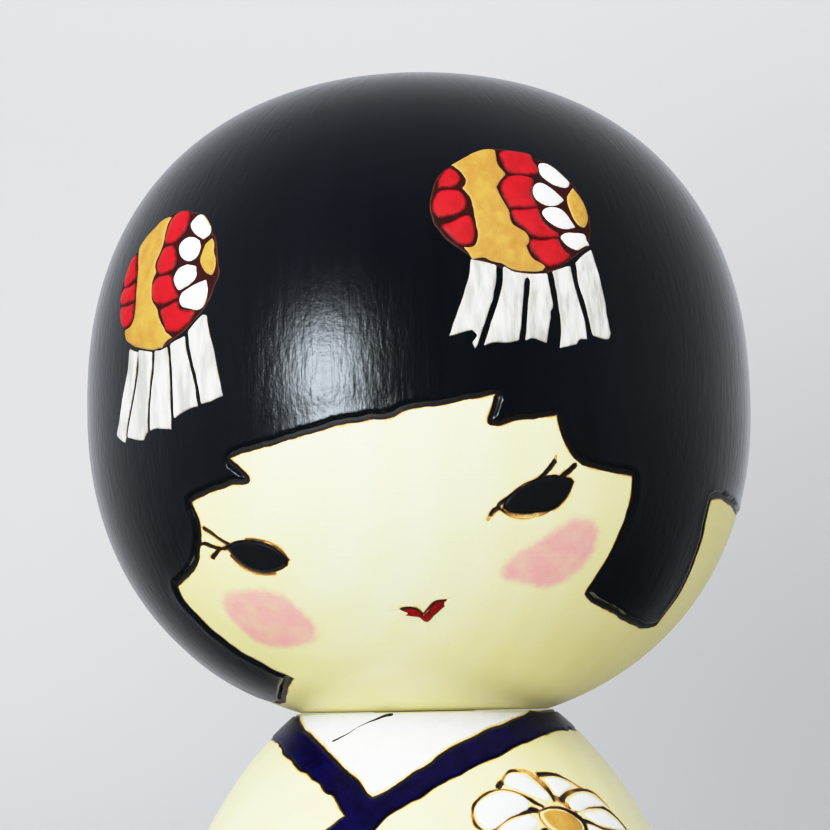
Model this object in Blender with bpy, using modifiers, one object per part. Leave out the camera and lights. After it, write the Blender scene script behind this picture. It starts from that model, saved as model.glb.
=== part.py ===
"""A turned wooden kokeshi doll: a round head that turns on a dowel glued into a bell-shaped body.

Metres, +Z up. The origin is the centre of the foot, and the face looks along -Y.
"""

import math

import bmesh
import bpy

COLLECTION = "kokeshi_doll"

# Driving dimensions.
BODY_HEIGHT = 0.072
BODY_RADIUS = 0.034
WAIST_HEIGHT = 0.022  # where the body is widest
SHOULDER_RISE = 0.0557  # half height of the ellipse above the widest place
FOOT_DROP = 0.060  # half height of the ellipse below it
HEAD_RADIUS = 0.039
HEAD_CENTRE = 0.0354  # widest place of the head, above its own flat underside
CROWN_RISE = 0.0389
CROWN_POWER = 2.32
JAW_DROP = 0.0376
JAW_POWER = 2.20
DOWEL_RADIUS = 0.0059
HEAD_BORE_DEPTH = 0.014
BODY_BORE_DEPTH = 0.016

# Clearances and small edges.
REST_GAP = 0.0003  # between faces that rest on each other
TURN_CLEARANCE = 0.0001  # dowel to the head's bore, where the head turns
GLUE_CLEARANCE = 0.0003  # dowel to the body's bore
NECK_CHAMFER = 0.0003
BORE_CHAMFER = 0.0006
FOOT_CHAMFER = 0.0009
FOOT_RING_INNER = 0.018  # inner edge of the flat ring that the doll stands on
FOOT_DISH_DEPTH = 0.0010
DOWEL_CHAMFER = 0.0007

TURN_STEPS = 72
SHARP_ANGLE = math.radians(35)
MERGE_DISTANCE = 0.00001

HEAD_BASE = BODY_HEIGHT + REST_GAP


def clear_scene():
    for obj in list(bpy.data.objects):
        bpy.data.objects.remove(obj, do_unlink=True)


def make_collection(name):
    collection = bpy.data.collections.new(name)
    bpy.context.scene.collection.children.link(collection)
    return collection


def wood_material(name, colour, roughness):
    material = bpy.data.materials.new(name)
    material.use_nodes = True
    shader = material.node_tree.nodes["Principled BSDF"]
    shader.inputs["Base Color"].default_value = (*colour, 1.0)
    shader.inputs["Roughness"].default_value = roughness
    shader.inputs["Metallic"].default_value = 0.0
    material.diffuse_color = (*colour, 1.0)
    return material


def superellipse_point(radius, half_height, power, angle):
    """Radius and height of a superellipse at an angle from its pole, pi/2 being its widest place."""
    across = radius * math.sin(angle) ** (2 / power)
    along = half_height * max(math.cos(angle), 0.0) ** (2 / power)
    return across, along


def angle_at_height(half_height, power, height):
    """The angle from the pole at which the superellipse passes a height."""
    return math.acos((height / half_height) ** (power / 2))


def pole_arc(radius, half_height, power, first, last, count):
    """Points from one angle to the other, both included."""
    steps = [first + (last - first) * i / (count - 1) for i in range(count)]
    return [superellipse_point(radius, half_height, power, angle) for angle in steps]


def head_profile():
    """From the crown, down the outside to the flat underside, and up into the blind bore."""
    widest = math.pi / 2
    bore = DOWEL_RADIUS + TURN_CLEARANCE
    crown = pole_arc(HEAD_RADIUS, CROWN_RISE, CROWN_POWER, 0.0, widest, 15)
    end = angle_at_height(JAW_DROP, JAW_POWER, HEAD_CENTRE - NECK_CHAMFER)
    jaw = pole_arc(HEAD_RADIUS, JAW_DROP, JAW_POWER, widest, end, 13)[1:]
    profile = [(r, HEAD_CENTRE + rise) for r, rise in crown]
    profile += [(r, HEAD_CENTRE - drop) for r, drop in jaw]
    neck_radius = profile[-1][0]
    profile += [
        (neck_radius - 2 * NECK_CHAMFER, 0.0),
        (bore + BORE_CHAMFER, 0.0),
        (bore, BORE_CHAMFER),
        (bore, HEAD_BORE_DEPTH),
        (0.0, HEAD_BORE_DEPTH),
    ]
    return profile


def body_profile():
    """From the floor of the bore, up and out over the shoulder, and down to the dished foot."""
    widest = math.pi / 2
    bore = DOWEL_RADIUS + GLUE_CLEARANCE
    shoulder_top = BODY_HEIGHT - WAIST_HEIGHT
    start = angle_at_height(SHOULDER_RISE, 2, shoulder_top - NECK_CHAMFER)
    end = angle_at_height(FOOT_DROP, 2, WAIST_HEIGHT - FOOT_CHAMFER)
    shoulder = pole_arc(BODY_RADIUS, SHOULDER_RISE, 2, start, widest, 14)
    skirt = pole_arc(BODY_RADIUS, FOOT_DROP, 2, widest, end, 7)[1:]
    top_radius = shoulder[0][0]
    foot_radius = skirt[-1][0]
    profile = [
        (0.0, BODY_HEIGHT - BODY_BORE_DEPTH),
        (bore, BODY_HEIGHT - BODY_BORE_DEPTH),
        (bore, BODY_HEIGHT - BORE_CHAMFER),
        (bore + BORE_CHAMFER, BODY_HEIGHT),
        (top_radius - 2 * NECK_CHAMFER, BODY_HEIGHT),
    ]
    profile += [(r, WAIST_HEIGHT + rise) for r, rise in shoulder]
    profile += [(r, WAIST_HEIGHT - drop) for r, drop in skirt]
    profile += [
        (foot_radius - FOOT_CHAMFER, 0.0),
        (FOOT_RING_INNER, 0.0),
        (0.6 * FOOT_RING_INNER, 0.8 * FOOT_DISH_DEPTH),
        (0.0, FOOT_DISH_DEPTH),
    ]
    return profile


def turned_mesh(name, profile):
    """The mesh of a profile turned round Z by a Screw modifier, shaded smooth between its sharp edges."""
    outline = bpy.data.meshes.new(name + "_profile")
    builder = bmesh.new()
    points = [builder.verts.new((r, 0.0, z)) for r, z in profile]
    for one, two in zip(points, points[1:]):
        builder.edges.new((one, two))
    builder.to_mesh(outline)
    builder.free()

    lathe = bpy.data.objects.new(name + "_lathe", outline)
    bpy.context.scene.collection.objects.link(lathe)
    screw = lathe.modifiers.new("turning", "SCREW")
    screw.axis = "Z"
    screw.steps = TURN_STEPS
    screw.render_steps = TURN_STEPS
    screw.use_merge_vertices = True
    screw.merge_threshold = MERGE_DISTANCE

    graph = bpy.context.evaluated_depsgraph_get()
    mesh = bpy.data.meshes.new_from_object(lathe.evaluated_get(graph))
    mesh.name = name
    mesh.shade_smooth()
    mesh.set_sharp_from_angle(angle=SHARP_ANGLE)
    bpy.data.objects.remove(lathe, do_unlink=True)
    bpy.data.meshes.remove(outline)
    return mesh


def turned_piece(name, profile, height, material, collection):
    obj = bpy.data.objects.new(name, turned_mesh(name, profile))
    obj.location.z = height
    obj.data.materials.clear()
    obj.data.materials.append(material)
    collection.objects.link(obj)
    return obj


def dowel_piece(name, material, collection):
    """The plain dowel, standing in the body's bore and reaching up into the head's."""
    bottom = BODY_HEIGHT - BODY_BORE_DEPTH + REST_GAP
    top = HEAD_BASE + HEAD_BORE_DEPTH - REST_GAP
    bpy.ops.mesh.primitive_cylinder_add(
        vertices=TURN_STEPS,
        radius=DOWEL_RADIUS,
        depth=top - bottom,
        location=(0.0, 0.0, (top + bottom) / 2),
    )
    obj = bpy.context.active_object
    obj.name = name
    obj.data.name = name
    obj.data.shade_smooth()
    obj.data.set_sharp_from_angle(angle=SHARP_ANGLE)
    obj.data.materials.append(material)
    bevel = obj.modifiers.new("chamfered ends", "BEVEL")
    bevel.width = DOWEL_CHAMFER
    bevel.segments = 2
    bevel.limit_method = "ANGLE"
    bevel.angle_limit = SHARP_ANGLE
    for linked in list(obj.users_collection):
        linked.objects.unlink(obj)
    collection.objects.link(obj)
    return obj


def main():
    clear_scene()
    collection = make_collection(COLLECTION)
    head_wood = wood_material("head_wood", (0.86, 0.81, 0.61), 0.42)
    body_wood = wood_material("body_wood", (0.86, 0.82, 0.64), 0.45)
    dowel_wood = wood_material("dowel_wood", (0.72, 0.58, 0.38), 0.62)
    turned_piece("body", body_profile(), 0.0, body_wood, collection)
    turned_piece("head", head_profile(), HEAD_BASE, head_wood, collection)
    dowel_piece("neck_dowel", dowel_wood, collection)


main()
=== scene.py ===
"""The looks of a turned wooden kokeshi doll: wood skins with burnt lines, and raised films of paint.

The doll has two turned surfaces, the head's and the body's. Each is flattened by a conformal map, in which
an outline is drawn, filled with triangles and lifted back. A wood skin is the whole surface with its burnt
grooves, and a film is one area of paint that stands a little proud of the wood. Lengths are in millimetres
until a mesh is made. Angles go round the doll in degrees: 0 is the front, and positive is towards +X.
"""

import math

import bpy
import numpy as np
from mathutils import Matrix, Vector, geometry, kdtree


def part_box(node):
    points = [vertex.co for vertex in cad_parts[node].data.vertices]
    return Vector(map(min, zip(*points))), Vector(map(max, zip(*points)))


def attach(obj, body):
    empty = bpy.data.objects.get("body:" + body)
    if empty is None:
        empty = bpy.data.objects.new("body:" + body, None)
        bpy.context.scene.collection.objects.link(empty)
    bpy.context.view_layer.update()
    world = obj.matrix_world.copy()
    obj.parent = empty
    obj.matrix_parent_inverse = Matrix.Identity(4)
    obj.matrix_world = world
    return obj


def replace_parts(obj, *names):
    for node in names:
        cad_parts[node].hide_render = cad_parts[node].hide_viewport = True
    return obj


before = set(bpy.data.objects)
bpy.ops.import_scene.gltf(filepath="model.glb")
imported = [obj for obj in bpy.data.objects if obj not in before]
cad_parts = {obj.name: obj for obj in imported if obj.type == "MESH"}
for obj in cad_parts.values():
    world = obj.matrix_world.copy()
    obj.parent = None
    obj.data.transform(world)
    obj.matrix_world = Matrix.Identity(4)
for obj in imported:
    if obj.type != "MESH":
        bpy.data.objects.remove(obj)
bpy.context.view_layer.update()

MM = 0.001
PER_METRE = 1000.0

# ---------------------------------------------------------------- turned surfaces

HEAD_LOW, HEAD_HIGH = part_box("head")
BODY_LOW, BODY_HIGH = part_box("body")
HEAD_RADIUS = (HEAD_HIGH.x - HEAD_LOW.x) / 2 * PER_METRE
BODY_RADIUS = (BODY_HIGH.x - BODY_LOW.x) / 2 * PER_METRE
HEAD_BASE = HEAD_LOW.z * PER_METRE
BODY_TOP = BODY_HIGH.z * PER_METRE
HEAD_HEIGHT = HEAD_HIGH.z * PER_METRE - HEAD_BASE

HEAD_CENTRE = 35.4          # height of the head's widest ring above its underside
CROWN_POWER = 2.32          # power of each superellipse: 2 is an ellipse, and more is squarer
JAW_DROP = 37.6             # how far the jaw's curve would run down if it weren't cut flat
JAW_POWER = 2.20
WAIST_DEPTH = 50.0          # depth of the body's widest ring below its top
SHOULDER_RISE = 55.7        # half axis of the ellipse above that ring
FOOT_DROP = 60.0            # half axis of the ellipse below it

HEAD_BORE = 6.0             # radii of the dowel's bores
HEAD_BORE_DEPTH = 14.0
BODY_BORE = 6.2
BODY_BORE_DEPTH = 16.0
SEAT_DROP = 0.2             # how far the head's skin comes down into the gap over the body
BODY_RIM_START = 0.06       # where the body's skin leaves the turned surface at its top
FOOT_ROUND = 0.9
FOOT_RING_INNER = 18.0      # inner radius of the ring that the doll stands on
FOOT_DISH = 1.0             # how far the foot is hollowed inside that ring
PROFILE_POINTS = 3000
POLE_RADIUS = 0.002         # where the head's profile stops short of the axis

PATCH_REACH = (-8.0, 3.0)   # how far under and over a flat drawing its surface may lie
PATCH_HALVINGS = 26
CURVE_STEPS = 14            # curve points between two control points
ROW_PITCH = 0.87            # distance between the rows of a staggered grid, in spacings
RIM_SEGMENTS = 192
STEP = 0.3                  # usual spacing of the points along an outline
FINE_STEP = 0.22
COARSE_STEP = 0.35


def superellipse(angle, radius, rise, power):
    """Radius and height of a superelliptic arc at angles from its widest ring to its pole."""
    share = 2.0 / power
    return radius * np.cos(angle) ** share, rise * np.sin(angle) ** share


def head_profile():
    """Radius and height above the underside, from the neck's edge to the crown."""
    jaw_start = math.asin(((HEAD_CENTRE + SEAT_DROP) / JAW_DROP) ** (JAW_POWER / 2))
    radius, drop = superellipse(np.linspace(jaw_start, 0, PROFILE_POINTS), HEAD_RADIUS, JAW_DROP, JAW_POWER)
    crown_end = math.acos((POLE_RADIUS / HEAD_RADIUS) ** (CROWN_POWER / 2))
    angles = np.linspace(0, crown_end, PROFILE_POINTS)[1:]
    crown_radius, rise = superellipse(angles, HEAD_RADIUS, HEAD_HEIGHT - HEAD_CENTRE, CROWN_POWER)
    return np.append(radius, crown_radius), np.append(HEAD_CENTRE - drop, HEAD_CENTRE + rise)


def body_profile():
    """Radius and depth below the top, from the neck's edge to the foot."""
    shoulder = math.asin((WAIST_DEPTH - BODY_RIM_START) / SHOULDER_RISE)
    foot = math.asin((BODY_TOP - FOOT_ROUND - WAIST_DEPTH) / FOOT_DROP)
    above = np.linspace(shoulder, 0, PROFILE_POINTS)
    below = np.linspace(0, foot, PROFILE_POINTS)[1:]
    radius = BODY_RADIUS * np.cos(np.append(above, below))
    depth = np.append(WAIST_DEPTH - SHOULDER_RISE * np.sin(above), WAIST_DEPTH + FOOT_DROP * np.sin(below))
    return radius, depth


class Surface:
    """A turned surface and its flat map, where the neck's edge is the unit circle and the rest is in it.
    Away is a distance along the axis from the flat face at the neck: up on the head, down on the body."""

    def __init__(self, radius, away, face_height, upward):
        self.radius = radius
        self.away = away
        self.height = face_height + upward * away
        dr, dz = np.diff(radius), np.diff(self.height)
        step = np.hypot(dr, dz)
        self.depth = np.append(0, np.cumsum(step / ((radius[1:] + radius[:-1]) / 2)))
        outward = np.column_stack([upward * dz, -upward * dr]) / step[:, None]
        self.normal = np.vstack([outward[:1], (outward[1:] + outward[:-1]) / 2, outward[-1:]])
        self.arc_length = np.append(0, np.cumsum(step))

    def flat(self, points):
        """Map points of (angle in degrees, distance away)."""
        points = np.asarray(points, float)
        angle = np.radians(points[:, 0])
        ring = np.exp(-np.interp(points[:, 1], self.away, self.depth))
        return np.column_stack([ring * np.sin(angle), -ring * np.cos(angle)])

    def at(self, flat, lift=0.0):
        """Points in space and outward normals at map points, lifted off the surface."""
        flat = np.asarray(flat, float)
        ring = np.maximum(np.hypot(flat[:, 0], flat[:, 1]), 1e-12)
        sine, cosine = flat[:, 0] / ring, -flat[:, 1] / ring
        depth = -np.log(ring)
        radius = np.interp(depth, self.depth, self.radius)
        height = np.interp(depth, self.depth, self.height)
        out = np.interp(depth, self.depth, self.normal[:, 0])
        up = np.interp(depth, self.depth, self.normal[:, 1])
        normals = np.column_stack([out * sine, -out * cosine, up])
        points = np.column_stack([radius * sine, -radius * cosine, height])
        return points + normals * np.reshape(lift, (-1, 1)), normals

    def scale(self, flat):
        """Map length of one millimetre at map points."""
        ring = np.maximum(np.hypot(flat[:, 0], flat[:, 1]), 1e-12)
        return ring / np.interp(-np.log(ring), self.depth, self.radius)

    def rings(self, spacing):
        """Map points in staggered rings, about one spacing apart all over the surface."""
        found = []
        arcs = np.arange(spacing * 0.8, self.arc_length[-1] - spacing * 0.4, spacing * ROW_PITCH)
        for row, arc in enumerate(arcs):
            radius = np.interp(arc, self.arc_length, self.radius)
            count = max(3, round(2 * math.pi * radius / spacing))
            angle = (np.arange(count) + 0.5 * (row % 2)) * 2 * math.pi / count
            ring = math.exp(-np.interp(arc, self.arc_length, self.depth))
            found.append(np.column_stack([ring * np.sin(angle), -ring * np.cos(angle)]))
        return np.vstack(found)


class Patch:
    """A flat drawing in millimetres laid on a surface: x runs to the right and y up, from its centre."""

    def __init__(self, surface, angle, away, turn=0.0, size=1.0):
        self.surface = surface
        spot = surface.flat([(angle, away)])
        self.centre, self.out = (a[0] for a in surface.at(spot))
        azimuth = math.radians(angle)
        self.right = np.array([math.cos(azimuth), math.sin(azimuth), 0.0])
        self.up = np.cross(self.out, self.right)
        self.turn, self.size = math.radians(turn), size

    def flat(self, points):
        """Map points straight behind drawn points, found by halving the reach until the surface is met."""
        x, y = np.asarray(points, float).T * self.size
        cosine, sine = math.cos(self.turn), math.sin(self.turn)
        x, y = x * cosine - y * sine, x * sine + y * cosine
        plane = self.centre + x[:, None] * self.right + y[:, None] * self.up
        low, high = (np.full(len(x), end) for end in PATCH_REACH)
        for _ in range(PATCH_HALVINGS):
            middle = (low + high) / 2
            spot = plane + middle[:, None] * self.out
            within = self.is_inside(spot)
            low, high = np.where(within, middle, low), np.where(within, high, middle)
        spot = plane + low[:, None] * self.out
        rise = self.surface.height[-1] - self.surface.height[0]
        away = (spot[:, 2] - self.surface.height[0]) / math.copysign(1, rise) + self.surface.away[0]
        angle = np.degrees(np.arctan2(spot[:, 0], -spot[:, 1]))
        return self.surface.flat(np.column_stack([angle, away]))

    def is_inside(self, spot):
        """Whether points in space are inside the turned surface."""
        heights, radii = self.surface.height, self.surface.radius
        if heights[0] > heights[-1]:
            heights, radii = heights[::-1], radii[::-1]
        return np.hypot(spot[:, 0], spot[:, 1]) < np.interp(spot[:, 2], heights, radii)


HEAD = Surface(*head_profile(), HEAD_BASE, 1)
BODY = Surface(*body_profile(), BODY_TOP, -1)

# ---------------------------------------------------------------- outlines and triangles


def curve_through(points, closed=False):
    """A centripetal Catmull-Rom curve through map points."""
    p = np.asarray(points, float)
    if len(p) == 2 and not closed:
        return np.linspace(p[0], p[1], CURVE_STEPS + 1)
    ends = (p[-1:], p[:2]) if closed else (2 * p[:1] - p[1:2], 2 * p[-1:] - p[-2:-1])
    p = np.vstack([ends[0], p, ends[1]])
    knots = np.append(0, np.cumsum(np.linalg.norm(np.diff(p, axis=0), axis=1) ** 0.5))
    pieces = []
    for i in range(1, len(p) - 2):
        k = knots[i - 1:i + 3]
        t = np.linspace(k[1], k[2], CURVE_STEPS, endpoint=False)[:, None]
        a = [((k[j + 1] - t) * p[i - 1 + j] + (t - k[j]) * p[i + j]) / (k[j + 1] - k[j]) for j in range(3)]
        b = [((k[j + 2] - t) * a[j] + (t - k[j]) * a[j + 1]) / (k[j + 2] - k[j]) for j in range(2)]
        pieces.append(((k[2] - t) * b[0] + (t - k[1]) * b[1]) / (k[2] - k[1]))
    if not closed:
        pieces.append(p[-2:-1])
    return np.vstack(pieces)


def running_length(surface, flat):
    """Real length along the line, from its start to each of its points."""
    return np.append(0, np.cumsum(np.linalg.norm(np.diff(surface.at(flat)[0], axis=0), axis=1)))


def evenly(surface, flat, step):
    """The open line resampled at even steps of real length, both ends kept."""
    length = running_length(surface, flat)
    at = np.linspace(0, length[-1], max(1, round(length[-1] / step)) + 1)
    return np.column_stack([np.interp(at, length, flat[:, 0]), np.interp(at, length, flat[:, 1])])


def loop(place, *stretches, step=STEP):
    """A closed line. One stretch is smooth all round, and several meet at corners, each where one ended."""
    surface = getattr(place, "surface", place)
    if len(stretches) == 1:
        curve = curve_through(place.flat(stretches[0]), closed=True)
        return evenly(surface, np.vstack([curve, curve[:1]]), step)[:-1]
    start = stretches[-1][-1]
    parts = []
    for stretch in stretches:
        parts.append(evenly(surface, curve_through(place.flat([start, *stretch])), step)[:-1])
        start = stretch[-1]
    return np.vstack(parts)


def line(place, points, step=STEP):
    """An open smooth line."""
    return evenly(getattr(place, "surface", place), curve_through(place.flat(points)), step)


def roughened(surface, flat, amount, wave, seed, closed=True):
    """The line shifted sideways by a smooth random amount, as a hot tip or a brush leaves it."""
    length = running_length(surface, flat)
    count = max(4, round(length[-1] / wave))
    random = np.random.default_rng(seed).normal(0, amount, count)
    if closed:
        random[-1] = random[0]
    position = length / length[-1] * (count - 1)
    base = np.minimum(position.astype(int), count - 2)
    t = position - base
    shift = random[base] + (random[base + 1] - random[base]) * t * t * (3 - 2 * t)
    return beside(surface, flat, closed, np.clip(shift, -2 * amount, 2 * amount))


def sideways(flat, closed=True):
    """Unit directions across the line at each of its points."""
    if closed:
        along = np.roll(flat, -1, axis=0) - np.roll(flat, 1, axis=0)
    else:
        along = np.gradient(flat, axis=0)
    along = along / np.maximum(np.linalg.norm(along, axis=1, keepdims=True), 1e-15)
    return np.column_stack([-along[:, 1], along[:, 0]])


def beside(surface, flat, closed, distance):
    """Points at a distance to the line's left, or to its right where the distance is negative."""
    return flat + sideways(flat, closed) * (distance * surface.scale(flat))[:, None]


def ribbon(surface, flat, widths):
    """The closed outline of a brush stroke along an open line, with round ends."""
    width = np.interp(np.linspace(0, 1, len(flat)), np.linspace(0, 1, len(widths)), widths) / 2
    across = sideways(flat, closed=False) * surface.scale(flat)[:, None]
    ends = []
    for tip, direction in ((-1, 1), (0, -1)):
        angle = np.linspace(0, math.pi, 7)[1:-1]
        side = across[tip] * width[tip]
        ahead = np.array([side[1], -side[0]]) * direction
        ends.append(flat[tip] + direction * np.cos(angle)[:, None] * side + np.sin(angle)[:, None] * ahead)
    left, right = flat + across * width[:, None], flat - across * width[:, None]
    return np.vstack([left, ends[0], right[::-1], ends[1]])


ROWS_AT_ONCE = 4000


def inside(points, loops):
    """Whether map points lie inside an odd number of the loops."""
    found = np.zeros(len(points), bool)
    for outline in loops:
        low, high = outline.min(0), outline.max(0)
        near = np.flatnonzero(((points >= low) & (points <= high)).all(1))
        a, b = outline, np.roll(outline, -1, axis=0)
        for start in range(0, len(near), ROWS_AT_ONCE):
            rows = near[start:start + ROWS_AT_ONCE]
            x, y = points[rows, 0, None], points[rows, 1, None]
            crosses = (a[:, 1] > y) != (b[:, 1] > y)
            with np.errstate(divide="ignore", invalid="ignore"):
                at = a[:, 0] + (y - a[:, 1]) / (b[:, 1] - a[:, 1]) * (b[:, 0] - a[:, 0])
            found[rows] ^= (crosses & (x < at)).sum(1) % 2 == 1
    return found


class Nearness:
    """Distances in space from points to lines on a surface."""

    def __init__(self, surface, lines, closed, finer=4):
        rows, self.line, self.share = [], [], []
        for number, (flat, shut) in enumerate(zip(lines, closed)):
            ends = np.vstack([flat, flat[:1]]) if shut else flat
            at = np.linspace(0, len(ends) - 1, (len(ends) - 1) * finer + 1)
            whole = np.arange(len(ends))
            rows.append(np.column_stack([np.interp(at, whole, ends[:, 0]), np.interp(at, whole, ends[:, 1])]))
            self.line.append(np.full(len(at), number))
            self.share.append(at / (len(ends) - 1))
        self.line, self.share = np.concatenate(self.line), np.concatenate(self.share)
        samples = surface.at(np.vstack(rows))[0]
        self.tree = kdtree.KDTree(len(samples))
        for index, sample in enumerate(samples.tolist()):
            self.tree.insert(sample, index)
        self.tree.balance()

    def of(self, points):
        """(distance, index of the nearest sample) of each point."""
        found = [self.tree.find(point)[1:] for point in points.tolist()]
        index, distance = np.array(found).T
        return distance, index.astype(int)


def thinned(points, gap):
    """A mask of the points that keep the gap to those before them."""
    cells, kept = {}, np.zeros(len(points), bool)
    around = [(x, y, z) for x in (-1, 0, 1) for y in (-1, 0, 1) for z in (-1, 0, 1)]
    keys = np.floor(points / gap).astype(int).tolist()
    for index, ((x, y, z), point) in enumerate(zip(keys, points.tolist())):
        for dx, dy, dz in around:
            other = cells.get((x + dx, y + dy, z + dz))
            if other and math.dist(other, point) < gap:
                break
        else:
            cells[x, y, z] = point
            kept[index] = True
    return kept


LEAST_AREA = 1e-14


def triangulate(loops, lines, grid, keep):
    """Map points and triangles of an area with the loops and lines as edges. Keep picks the triangles."""
    rows, edges, count = [], [], 0
    for flat, closed in [(f, True) for f in loops] + [(f, False) for f in lines]:
        numbers = np.arange(count, count + len(flat))
        pairs = np.column_stack([numbers, np.roll(numbers, -1)])
        edges.append(pairs if closed else pairs[:-1])
        rows.append(flat)
        count += len(flat)
    rows.append(grid)
    points = [Vector(p) for p in np.vstack(rows).tolist()]
    out = geometry.delaunay_2d_cdt(points, np.vstack(edges).tolist(), [], 0, 1e-8, False)
    flat = np.array([(v[0], v[1]) for v in out[0]])
    triangles = np.array(out[2])
    a, b, c = (flat[triangles[:, k]] for k in range(3))
    area = np.abs((b[:, 0] - a[:, 0]) * (c[:, 1] - a[:, 1]) - (b[:, 1] - a[:, 1]) * (c[:, 0] - a[:, 0]))
    middle = (a + b + c) / 3
    triangles = triangles[keep(middle) & (area > LEAST_AREA)]
    used, triangles = np.unique(triangles, return_inverse=True)
    return flat[used], triangles.reshape(-1, 3)


def face_vectors(points, triangles):
    """Each triangle's normal, as long as twice its area."""
    a, b, c = (points[triangles[:, k]] for k in range(3))
    return np.cross(b - a, c - a)


def outward(points, normals, triangles):
    """The triangles, each turned so that it faces along the normals."""
    facing = np.einsum("ij,ij->i", face_vectors(points, triangles), normals[triangles[:, 0]])
    turned = triangles.copy()
    turned[facing < 0] = turned[facing < 0][:, ::-1]
    return turned


def rim_points(flat, ring):
    """Indices of the map points on a ring, in order round it."""
    on_ring = np.flatnonzero(np.abs(np.hypot(flat[:, 0], flat[:, 1]) - ring) < 1e-6)
    return on_ring[np.argsort(np.arctan2(flat[on_ring, 0], -flat[on_ring, 1]))]


def mesh_object(name, points, triangles, attributes, normals, material):
    """A smooth mesh object from millimetre points, with a value of each attribute at each point."""
    mesh = bpy.data.meshes.new(name)
    mesh.from_pydata((points * MM).tolist(), [], triangles.tolist())
    mesh.shade_smooth()
    for key, values in attributes.items():
        mesh.attributes.new(key, "FLOAT", "POINT").data.foreach_set("value", np.asarray(values, np.float32))
    mesh.normals_split_custom_set_from_vertices(normals.tolist())
    mesh.materials.append(material)
    obj = bpy.data.objects.new(name, mesh)
    bpy.context.scene.collection.objects.link(obj)
    return obj


def mesh_normals(points, triangles):
    """Area-weighted normals of the points."""
    face = face_vectors(points, triangles)
    total = np.zeros_like(points)
    for k in range(3):
        np.add.at(total, triangles[:, k], face)
    return total / np.maximum(np.linalg.norm(total, axis=1, keepdims=True), 1e-15)


def smoothstep(low, high, x):
    """0 up to the low end, 1 from the high end on, and smooth between."""
    t = np.clip((x - low) / (high - low), 0, 1)
    return t * t * (3 - 2 * t)


def waves(points, length, seed):
    """A smooth random field from -1 to 1 at points in space, with features of about that length."""
    rng = np.random.default_rng(seed)
    total = np.zeros(len(points))
    for _ in range(9):
        direction = rng.normal(size=3)
        direction *= 2 * math.pi / (length * rng.uniform(0.7, 1.6) * np.linalg.norm(direction))
        total += np.sin(points @ direction + rng.uniform(0, 2 * math.pi))
    return np.clip(total / 4, -1, 1)


def uneven(height, length, seed, shrink=(1.0, 1.0, 1.0)):
    """A film's relief: a random rise and fall, drawn out along an axis whose lengths are shrunk."""
    return lambda points: height * waves(points * shrink, length, seed)


# ---------------------------------------------------------------- films and skins

ROW_CLEARANCE = 0.94        # share of its own distance that a row keeps from other edges
FILM_POINT_GAP = 0.09
SKIN_POINT_GAP = 0.1
FILM_SINK = 0.12            # how far the underside of a film lies under its edge


def film(name, surface, groups, profile, spacing, material, relief=None):
    """A piece of raised paint. Each group is the loops of one closed sheet, and the profile gives the lift
    at distances in from its edge. Relief adds to the lift, given points in space."""
    distances, lifts = zip(*profile)
    offsets = [d for d in distances if d > 0]
    all_points, all_faces, all_normals, all_rims = [], [], [], []
    count = 0
    for loops in groups:
        near = Nearness(surface, loops, [True] * len(loops))

        def filled(rows, gap):
            grid = film_grid(surface, loops, near, rows, gap)
            flat, faces = triangulate(loops, [], grid, lambda middle: inside(middle, loops))
            base = surface.at(flat)[0]
            rim = near.of(base)[0]
            rim[rim < 1e-4] = 0
            return flat, faces, base, rim

        flat, faces, base, rim = filled(offsets, spacing)
        lift = np.interp(rim, distances, lifts)
        if relief:
            lift = lift + relief(base) * smoothstep(0.1, 0.5, rim)
        points, normals = surface.at(flat, lift)
        faces = outward(base, normals, faces)
        smooth = mesh_normals(points, faces)
        if relief is None:
            calm = smoothstep(distances[-1] + spacing * 0.5, distances[-1] + spacing * 1.5, rim)[:, None]
            smooth = smooth * (1 - calm) + normals * calm
        under, back, _, under_rim = filled([], max(1.6, spacing * 2))
        below, below_normals = surface.at(under, lifts[0] - FILM_SINK * smoothstep(0, 0.3, under_rim))
        back = outward(below, below_normals, back)[:, ::-1]
        all_points += [points, below]
        all_faces += [faces + count, back + count + len(points)]
        all_normals += [smooth, -below_normals]
        all_rims += [rim, under_rim * 0]
        count += len(points) + len(below)
    points, faces, normals = map(np.vstack, (all_points, all_faces, all_normals))
    points, faces, normals, rims = welded(points, faces, normals, np.concatenate(all_rims))
    return mesh_object(name, points, faces, {"rim": rims}, normals, material)


def welded(points, faces, normals, values):
    """The mesh with points at the same place made one, where a film's top meets its underside."""
    _, first, index = np.unique(np.round(points, 5), axis=0, return_index=True, return_inverse=True)
    faces = index.reshape(-1)[faces]
    faces = faces[(faces[:, 0] != faces[:, 1]) & (faces[:, 1] != faces[:, 2]) & (faces[:, 2] != faces[:, 0])]
    return points[first], faces, normals[first], values[first]


def film_grid(surface, loops, near, offsets, spacing):
    """Map points inside the loops: rows beside the edge, and a staggered grid further in."""
    rows = [np.zeros((0, 2))]
    for offset in offsets:
        for flat in loops:
            for side in (offset, -offset):
                candidates = beside(surface, flat, True, side)
                candidates = candidates[inside(candidates, loops)]
                if len(candidates):
                    distance = near.of(surface.at(candidates)[0])[0]
                    rows.append(candidates[distance > offset * ROW_CLEARANCE])
    edge = np.vstack(rows)
    edge = edge[thinned(surface.at(edge)[0], FILM_POINT_GAP)]
    grid = local_grid(surface, loops, spacing)
    grid = grid[inside(grid, loops)]
    if len(grid):
        last = max(offsets, default=0)
        grid = grid[near.of(surface.at(grid)[0])[0] > last + spacing * 0.45]
    return np.vstack([edge, grid])


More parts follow.
